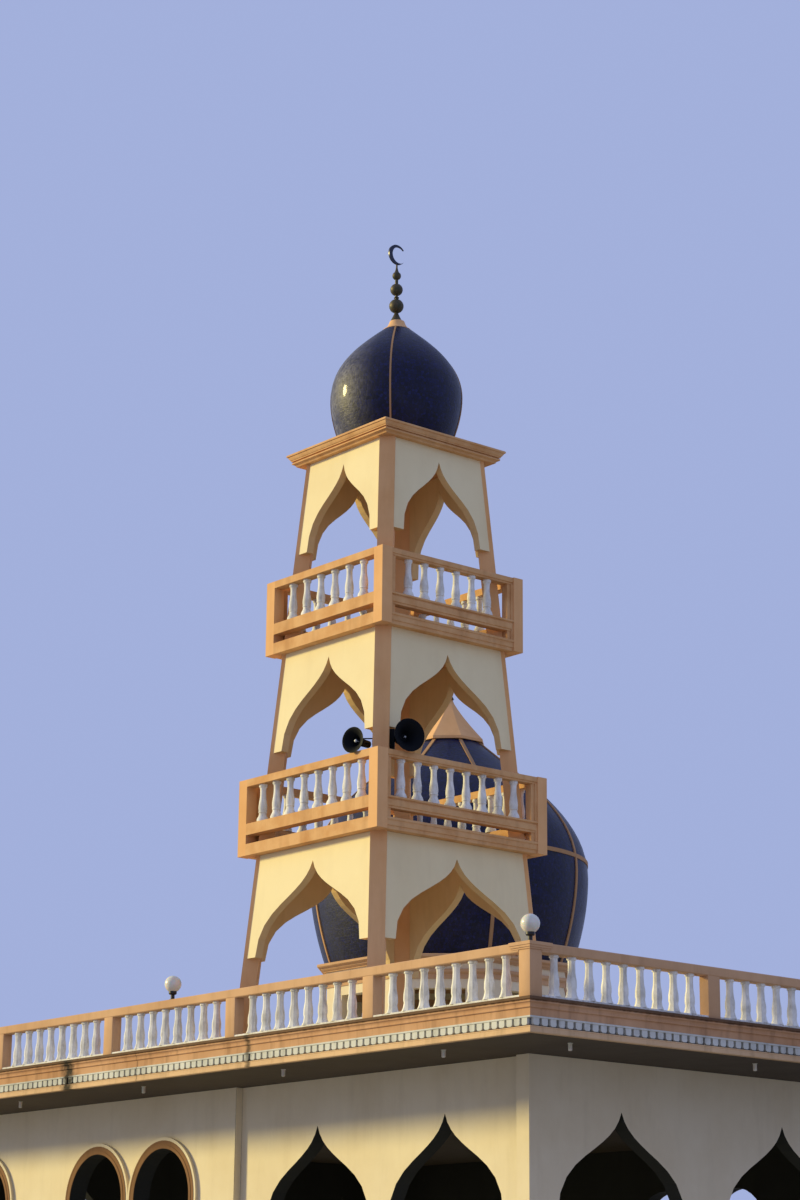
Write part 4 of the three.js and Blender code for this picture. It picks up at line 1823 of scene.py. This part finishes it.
@dataclass
class MinaretTop:
    """The minaret's moulded cornice, its dome with four ribs, the collar and the finial."""

    palette: Palette
    centre: Point2
    dome_segments: int = 64
    shell: float = 0.08
    rib_width: float = 0.032
    rib_proud: float = 0.014

    def build(self) -> None:
        """Build the whole top."""
        palette = self.palette
        here = [Matrix.Translation((*self.centre, 0.0))]
        cornice = gathered((self.cornice(), here))
        show("minaret_cornice", cornice, [palette.band], ["tower_cornice"])
        shape = DomeShape("tower_dome", foot=0.95, widest_z=18.68, neck=0.265, shoulder=0.66)
        dome = gathered((shape.shell(self.dome_segments, self.shell), here))
        show("minaret_dome", dome, [palette.mosaic], ["tower_dome"])
        ribs = shape.ribs(4, 45.0, self.rib_width, self.rib_proud)
        show("minaret_dome_ribs", ribs, [palette.rib])
        collar = gathered((self.collar(), here))
        show("minaret_collar", collar, [palette.tan], ["tower_dome_collar"])
        Finial(palette, "tower_finial").build()

    def cornice(self) -> Mesh:
        """Run the cornice's mouldings round the square.

        Returns:
            A new mesh, centred on the axis.
        """
        low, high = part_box("tower_cornice")
        z = low.z
        half = (high.x - low.x) / 2.0
        outline = [
            (-half, z), (-0.134, z), (-0.128, z + 0.018), (-0.108, z + 0.038), (-0.080, z + 0.048),
            (-0.074, z + 0.052), (-0.074, z + 0.078), (-0.080, z + 0.082), (-0.102, z + 0.085),
            (-0.102, z + 0.100), (-0.064, z + 0.103), (-0.064, z + 0.122), (-0.054, z + 0.126),
            (-0.020, z + 0.180), (-0.020, z + 0.186), (-0.003, z + 0.189), (0.0, z + 0.193),
            (0.0, high.z - 0.012), (-0.010, high.z), (-half, high.z),
        ]
        return mitred(outline, half, half, closed=False)

    def collar(self) -> Mesh:
        """Turn the hollow cone between the dome and the finial.

        Returns:
            A new mesh on the Z axis.
        """
        low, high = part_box("tower_dome_collar")
        radius = (high.x - low.x) / 2.0
        height = high.z - low.z
        shares = ((1.0, 0.0), (1.0, 0.055), (0.84, 0.20), (0.72, 0.38), (0.62, 0.62), (0.52, 1.0))
        points = [(radius * share, low.z + height * up) for share, up in shares]
        return turned([(0.0, low.z), *points, (0.0, high.z)], 40)


@dataclass
class Drum:
    """The eight-sided drum's banded cornice, in tan and cream."""

    palette: Palette
    inside: float = 2.27

    def build(self) -> None:
        """Build the bands and dress the wall."""
        dress("drum_wall", self.palette.cream)
        low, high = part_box("drum_cornice")
        z, top = low.z, high.z
        outer = (high.x - low.x) / 2.0
        inside = self.inside
        lower = [
            (inside, z), (outer - 0.19, z), (outer - 0.19, z + 0.095), (outer - 0.180, z + 0.104),
            (outer - 0.158, z + 0.118), (outer - 0.140, z + 0.140), (outer - 0.140, z + 0.186),
            (outer - 0.150, z + 0.196), (inside, z + 0.196),
        ]
        upper = [
            (inside, z + 0.326), (outer - 0.150, z + 0.326), (outer - 0.150, z + 0.346),
            (outer - 0.110, z + 0.362), (outer - 0.086, z + 0.384), (outer - 0.080, z + 0.408),
            (outer - 0.050, z + 0.414), (outer - 0.018, z + 0.424), (outer, z + 0.440),
            (outer, top - 0.010), (outer - 0.010, top), (inside, top),
        ]
        frieze = [
            (inside, z + 0.19), (outer - 0.194, z + 0.19), (outer - 0.194, z + 0.332),
            (inside, z + 0.332),
        ]
        mouldings = eight_sided(lower)
        pour(mouldings, eight_sided(upper), [Matrix.Identity(4)])
        show("drum_mouldings", mouldings, [self.palette.rail], ["drum_cornice"])
        show("drum_frieze", eight_sided(frieze), [self.palette.cream])


@dataclass
class BigDome:
    """The large dome with eight ribs, a band at its widest ring, its cap and finial."""

    palette: Palette
    segments: int = 96
    shell: float = 0.15
    rib_width: float = 0.075
    rib_proud: float = 0.022
    band_z: float = 11.84
    band_height: float = 0.085
    band_depth: float = 0.03
    band_reach: float = 0.08
    cap_skirt: float = 0.06
    cap_tip: float = 0.06
    cap_hollow: float = 1.2
    cap_steps: int = 12

    def build(self) -> None:
        """Build the dome and what it carries."""
        palette = self.palette
        shape = DomeShape("big_dome", foot=2.60, widest_z=11.55, neck=0.70, shoulder=0.6)
        dome = shape.shell(self.segments, self.shell)
        show("great_dome", dome, [palette.mosaic_without_sheen], ["big_dome"])
        ribs = shape.ribs(8, 22.5, self.rib_width, self.rib_proud)
        show("great_dome_ribs", ribs, [palette.rib])
        show("great_dome_band", self.band(shape), [palette.rib])
        show("great_dome_cap", self.cap(), [palette.tan], ["dome_cap"])
        Finial(palette, "dome_finial").build()

    def band(self, shape: DomeShape) -> Mesh:
        """Turn the flat band round the dome.

        Args:
            shape: The dome.

        Returns:
            A new mesh of the band.
        """
        outline = shape.outline(0.0, 60)
        near = [radius for radius, z in outline if abs(z - self.band_z) < self.band_reach]
        radius = sum(near) / len(near)
        z0 = self.band_z - self.band_height / 2.0
        z1 = self.band_z + self.band_height / 2.0
        inner = radius - self.band_depth
        outer = radius + self.rib_proud
        section = [(inner, z0), (outer, z0), (outer, z1), (inner, z1)]
        return turned(section, self.segments, closed=True)

    def cap(self) -> Mesh:
        """Build the cap: eight hollow-curved sides that sweep up to a point.

        Returns:
            A new mesh of the cap.
        """
        low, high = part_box("dome_cap")
        radius = (high.x - low.x) / 2.0
        height = high.z - low.z
        skirt = low.z + self.cap_skirt
        points = [(radius, low.z), (radius, skirt)]
        for i in range(1, self.cap_steps + 1):
            share = i / self.cap_steps
            reach = radius * (1.0 - share) ** self.cap_hollow + self.cap_tip * share
            points.append((reach, skirt + (height - self.cap_skirt) * share))
        solid = eight_sided([(0.0, low.z), *points, (0.0, high.z)])
        bm = gathered((solid, [Matrix.Identity(4)]))
        bmesh.ops.remove_doubles(bm, verts=bm.verts[:], dist=WELD)
        return bm


@dataclass
class Lamp:
    """A globe lamp: an opal globe in a shallow black cup on a short pole."""

    palette: Palette
    node: str
    globe: float = 0.15
    neck: float = 0.036

    def build(self) -> None:
        """Build the lamp in place of its node."""
        low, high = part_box(self.node)
        centre = plan_centre(self.node)
        ball = bmesh.new()
        bmesh.ops.create_uvsphere(ball, u_segments=40, v_segments=24, radius=self.globe)
        up = (*centre, high.z - self.globe)
        bmesh.ops.translate(ball, vec=up, verts=ball.verts[:])
        show(f"{self.node}_globe", ball, [self.palette.opal], [self.node])
        neck, z, cup = self.neck, low.z, high.z - 2.0 * self.globe
        points = [
            (0.0, z), (neck * 1.7, z), (neck * 1.7, z + 0.012), (neck, z + 0.020),
            (neck, cup - 0.042), (neck * 1.7, cup - 0.036), (neck * 2.0, cup - 0.020),
            (neck * 2.0, cup + 0.022), (0.0, cup + 0.022),
        ]
        pole = gathered((turned(points, 24), [Matrix.Translation((*centre, 0.0))]))
        show(f"{self.node}_neck", pole, [self.palette.lamp_neck])


@dataclass
class Horn:
    """A horn loudspeaker on a bracket from the near pier.

    Attributes:
        tower: The minaret's axis in plan.
        node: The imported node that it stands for.
        mouth: The mouth's radius.
        turn: Its turn in degrees from the pier's outward diagonal.
        along: Its back's place along the diagonal.
        side: Its back's place across the diagonal.
        height: Its axis's height.
        cap: The radius of the pale cap in its throat.
        housing: Half the length, the depth and half the height of the housing on the pier.
        tail: How far the driver reaches back, as a share of the bell's length.
        strap: The strap's height over the axis.
        sunk: How far the cap stands back in the throat, as a share of the bell's length.
        slim: The bell's length over the mouth's radius.
    """

    palette: Palette
    tower: Point2
    node: str
    mouth: float
    turn: float
    along: float
    side: float
    height: float
    cap: float
    housing: Point3
    tail: float
    strap: float
    sunk: float
    slim: float = 1.25
    pier_half: float = 0.14
    strap_half: float = 0.016
    ease: float = 0.006

    def build(self) -> None:
        """Build the horn in place of its node."""
        pier_turn = Matrix.Rotation(-QUARTER, 4, "Z")
        back = Matrix.Translation((self.along, self.side, self.height))
        pier_frame = Matrix.Translation((*self.tower, 0.0)) @ pier_turn @ back
        aim = Matrix.Rotation(math.radians(self.turn), 4, "Z")
        axis = [pier_frame @ aim @ Matrix.Rotation(math.pi / 2.0, 4, "Y")]
        bell = gathered(
            (self.bell(), axis), (self.driver(), axis), (self.bracket(), [pier_frame])
        )
        show(f"{self.node}_bell", bell, [self.palette.horn], [self.node])
        cap = gathered((self.throat_cap(), axis))
        show(f"{self.node}_cap", cap, [self.palette.horn_cap])

    def turned_part(
        self, outline: Sequence[Point2], radius: float, steps: int, closed: bool = False
    ) -> Mesh:
        """Turn a part of the horn round its axis.

        Args:
            outline: Its points, as shares of a radius and of the bell's length.
            radius: That radius.
            steps: How many segments the turn has.
            closed: Whether the outline closes on itself.

        Returns:
            A new mesh that opens along Z.
        """
        length = self.mouth * self.slim
        return turned([(r * radius, z * length) for r, z in outline], steps, closed)

    def bell(self) -> Mesh:
        """Turn the flared bell with its rolled rim.

        Returns:
            A new mesh that opens along Z.
        """
        outline = [
            (0.24, 0.34), (0.36, 0.55), (0.55, 0.76), (0.78, 0.92), (0.965, 0.985), (1.0, 0.995),
            (1.0, 1.0), (0.95, 1.0), (0.76, 0.935), (0.53, 0.78), (0.33, 0.57), (0.20, 0.36),
        ]
        return self.turned_part(outline, self.mouth, 40, closed=True)

    def throat_cap(self) -> Mesh:
        """Turn the small domed cap that stands in the throat.

        Returns:
            A new mesh on the bell's axis.
        """
        sunk = self.sunk
        outline = [
            (0.0, 0.36), (0.5, 0.36), (0.5, 0.66 - sunk), (1.0, 0.69 - sunk), (1.0, 0.72 - sunk),
            (0.7, 0.76 - sunk), (0.0, 0.78 - sunk),
        ]
        return self.turned_part(outline, self.cap, 20)

    def driver(self) -> Mesh:
        """Turn the drum-shaped driver behind the bell.

        Returns:
            A new mesh on the bell's axis.
        """
        outline = [
            (0.0, -self.tail), (0.24, -self.tail), (0.28, 0.04 - self.tail), (0.30, 0.18),
            (0.33, 0.21), (0.33, 0.30), (0.26, 0.38), (0.0, 0.40),
        ]
        return self.turned_part(outline, self.mouth, 28)

    def bracket(self) -> Mesh:
        """Build the housing on the pier's side and the thin strap that holds the driver.

        Returns:
            A new mesh in the pier's frame.
        """
        bm = bmesh.new()
        half = self.strap_half
        pier_face = math.copysign(self.pier_half, self.side) - self.side
        low, high = sorted((0.0, pier_face))
        block(bm, (-half, low, self.strap), (half, high, self.strap + half), self.ease / 2.0)
        half_length, depth, half_height = self.housing
        far_face = pier_face - math.copysign(depth, pier_face)
        near, far = sorted((pier_face, far_face))
        high = (half_length, far, half_height)
        block(bm, (-half_length, near, -half_height), high, self.ease)
        return bm


@dataclass
class WindowSurrounds:
    """The stepped bands round the round-headed windows.

    The inner two thirds of each raised band are brown, and the rest is cream like the wall.

    Attributes:
        step: How far the raised bands stand out from the wall behind.
        bands: The brown bands, each by how far its two outlines stand out from the opening, and by
            how far its face is proud of the raised band's.
        edging: The cream one outside them, in the same way.
    """

    palette: Palette
    wall: str
    centres: tuple[float, ...] = (1.02, -1.18, -5.30, -7.50)
    half: float = 0.90
    spring: float = 4.47
    sill: float = 1.30
    step: float = 0.06
    key: float = 0.02
    bands: tuple[Point3, ...] = (
        (0.006, 0.14, 0.006), (-0.004, 0.0588, 0.014), (0.11, 0.144, 0.010),
    )
    edging: Point3 = (0.14, 0.203, 0.002)
    head_steps: int = 28

    def build(self, side: Side) -> None:
        """Build the bands on one side.

        Args:
            side: The side that the wall faces.
        """
        low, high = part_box(self.wall)
        front = side is Side.FRONT
        face = low.y if front else -high.y
        wall = face + self.step
        places = [
            side.turn @ Matrix.Translation((x if front else -x, 0.0, 0.0)) for x in self.centres
        ]
        brown = bmesh.new()
        for place in places:
            for (inner, outer, proud), back in zip(self.bands, (wall, face, face)):
                pour(brown, self.band(inner, outer, face - proud, back), [place])
        inner, outer, proud = self.edging
        cream = gathered((self.band(inner, outer, face - proud, wall + self.key), places))
        show(f"{side.label}_window_surrounds", brown, [self.palette.surround])
        show(f"{side.label}_window_edgings", cream, [self.palette.cream])

    def loop(self, bm: Mesh, grown: float, y: float) -> list[bmesh.types.BMEdge]:
        """Draw a window's outline.

        Args:
            bm: The mesh to add to.
            grown: How far the outline is moved outwards.
            y: The plane that it lies in.

        Returns:
            The outline's edges.
        """
        half = self.half + grown
        points = [(-half, self.sill - grown), (half, self.sill - grown)]
        for i in range(self.head_steps + 1):
            angle = math.pi * i / self.head_steps
            points.append((half * math.cos(angle), self.spring + half * math.sin(angle)))
        verts = [bm.verts.new((x, y, z)) for x, z in points]
        return [bm.edges.new(pair) for pair in zip(verts, verts[1:] + verts[:1])]

    def band(self, inner: float, outer: float, front: float, back: float) -> Mesh:
        """Build one flat band between two outlines.

        Args:
            inner: How far the inner outline stands out from the opening.
            outer: How far the outer outline does.
            front: The plane of its face.
            back: The plane of its back.

        Returns:
            A new mesh of the band.
        """
        bm = bmesh.new()
        edges = self.loop(bm, inner, back) + self.loop(bm, outer, back)
        faces = bmesh.ops.bridge_loops(bm, edges=edges)["faces"]
        pull(bm, faces, (0.0, front - back, 0.0))
        return bm


@dataclass
class WallStep:
    """The returns where the hall's west walls stand proud of its east walls."""

    palette: Palette
    band: float = 0.06
    skin: float = 0.003
    shy: float = 0.004
    key: float = 0.01

    def build(self) -> None:
        """Face the return at the front and at the back with a thin coat of render."""
        bm = bmesh.new()
        for side in (Side.FRONT, Side.BACK):
            west_low, west_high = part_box(f"{side.label}_wall_west")
            east_low, east_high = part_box(f"{side.label}_wall_east")
            if side is Side.FRONT:
                y0, y1 = west_low.y + self.band + self.shy, east_low.y - self.shy
            else:
                y0, y1 = east_high.y + self.shy, west_high.y - self.band - self.shy
            low = (west_high.x - self.key, y0, west_low.z)
            block(bm, low, (west_high.x + self.skin, y1, west_high.z))
        show("wall_returns", bm, [self.palette.cream])


@dataclass
class Studio:
    """A plain pale floor, soft light and the photograph's point of view."""

    stand: Point3 = (42.752, -37.028, 1.597)
    heading: float = 50.23
    pitch: float = 15.98
    roll: float = 0.56
    focal_px: float = 2653.6
    image_height_px: float = 1200.0
    sensor_mm: float = 36.0
    sight: float = 500.0
    floor_radius: float = 150.0
    floor_drop: float = 0.002
    sun_from: Point3 = (-0.78, -0.62, 0.30)
    sun_strength: float = 3.9
    sun_softness: float = 9.0
    sun_colour: str = "#FFEC9E"
    sky_colour: str = "#B6C5F5"
    sky_strength: float = 0.78
    floor_colour: str = "#A8A5A0"

    def build(self) -> None:
        """Set up the floor, the light and the camera."""
        self.build_floor()
        self.build_light()
        self.build_camera()

    def build_floor(self) -> None:
        """Lay the floor."""
        bm = bmesh.new()
        bmesh.ops.create_circle(bm, cap_ends=True, segments=96, radius=self.floor_radius)
        bmesh.ops.translate(bm, vec=(0.0, 0.0, -self.floor_drop), verts=bm.verts[:])
        mesh = bpy.data.meshes.new("studio_floor")
        bm.to_mesh(mesh)
        bm.free()
        mesh.materials.append(StudioPaper("pale studio floor", self.floor_colour).build())
        floor = bpy.data.objects.new("studio_floor", mesh)
        bpy.context.scene.collection.objects.link(floor)

    def build_light(self) -> None:
        """Light the stage with one soft key lamp and an even pale sky."""
        scene = bpy.context.scene
        data = bpy.data.lights.new("key", "SUN")
        data.energy = self.sun_strength
        data.angle = math.radians(self.sun_softness)
        data.color = linear(self.sun_colour)[:3]
        key = bpy.data.objects.new("key", data)
        key.rotation_euler = Vector(self.sun_from).to_track_quat("Z", "Y").to_euler()
        scene.collection.objects.link(key)
        world = bpy.data.worlds.new("studio")
        world.use_nodes = True
        tree = world.node_tree
        tree.nodes.clear()
        sky = {"Color": linear(self.sky_colour), "Strength": self.sky_strength}
        light = add(tree, "ShaderNodeBackground", None, sky).outputs["Background"]
        add(tree, "ShaderNodeOutputWorld", None, {"Surface": light})
        scene.world = world
        scene.view_settings.view_transform = "Standard"

    def build_camera(self) -> None:
        """Set the camera where the photograph was taken."""
        data = bpy.data.cameras.new("camera")
        data.sensor_width = self.sensor_mm
        data.lens = self.focal_px / self.image_height_px * self.sensor_mm
        data.clip_end = self.sight
        camera = bpy.data.objects.new("camera", data)
        heading = Matrix.Rotation(math.radians(self.heading), 4, "Z")
        raised = Matrix.Rotation(math.radians(90.0 + self.pitch), 4, "X")
        rolled = Matrix.Rotation(math.radians(self.roll), 4, "Z")
        camera.matrix_world = Matrix.Translation(self.stand) @ heading @ raised @ rolled
        bpy.context.scene.collection.objects.link(camera)
        bpy.context.scene.camera = camera


def dress_walls(palette: Palette) -> None:
    """Give the hall's walls and floor, and the minaret's shaft, their paint.

    Args:
        palette: The finishes.
    """
    for wall in ("front_wall_east", "front_wall_west", "back_wall_east", "back_wall_west"):
        dress(wall, palette.front_wall)
    dress("right_wall", palette.side_wall)
    dress("left_wall", palette.side_wall)
    dress("hall_floor", palette.screed)
    for pier in ("near", "right", "far", "left"):
        dress(f"tower_pier_{pier}", palette.tan)
    for storey in ("low", "middle", "upper"):
        for side in Side:
            dress(f"{storey}_panel_{side.label}", palette.panel)


def hang_horns(palette: Palette, tower: Point2) -> None:
    """Hang the two horn loudspeakers on the near pier.

    Args:
        palette: The finishes.
        tower: The minaret's axis in plan.
    """
    Horn(
        palette, tower, "horn_right", mouth=0.286, turn=32.0, along=2.040, side=0.317,
        height=11.775, cap=0.018, housing=(0.05, 0.085, 0.17), tail=0.22, strap=0.01, sunk=0.2,
    ).build()
    Horn(
        palette, tower, "horn_left", mouth=0.226, turn=-32.0, along=2.117, side=-0.313,
        height=11.695, cap=0.027, housing=(0.03, 0.012, 0.05), tail=0.58, strap=0.066, sunk=0.0,
    ).build()


def main() -> None:
    """Dress the building and set the stage."""
    logging.basicConfig(level=logging.INFO, format="%(message)s")
    tower = plan_centre("tower_cornice")
    slab_low, slab_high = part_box("roof_slab")
    front_y = slab_low.y + FRONT_DEPTH
    palette = Palette(tower_centre=tower, front_y=front_y, ledge_z=slab_high.z)
    dress_walls(palette)
    for side in (Side.FRONT, Side.BACK):
        WindowSurrounds(palette, f"{side.label}_wall_west").build(side)
    WallStep(palette).build()
    RoofEdge(palette).build()
    for side in Side:
        bays = LONG_BAYS if side.is_long else SHORT_BAYS
        Balustrade(palette, side, bays, corners=side.is_long).build()
    Balcony(palette, "lower", balusters=8, pitch=0.395, centre=tower).build()
    Balcony(palette, "upper", balusters=6, pitch=0.403, centre=tower).build()
    MinaretTop(palette, tower).build()
    Drum(palette).build()
    BigDome(palette).build()
    for end in ("front_right", "front_left", "back_right", "back_left"):
        Lamp(palette, f"corner_lamp_{end}").build()
    Lamp(palette, "rail_lamp_right").build()
    Lamp(palette, "rail_lamp_left").build()
    hang_horns(palette, tower)
    Studio().build()


if __name__ == "__main__":
    main()
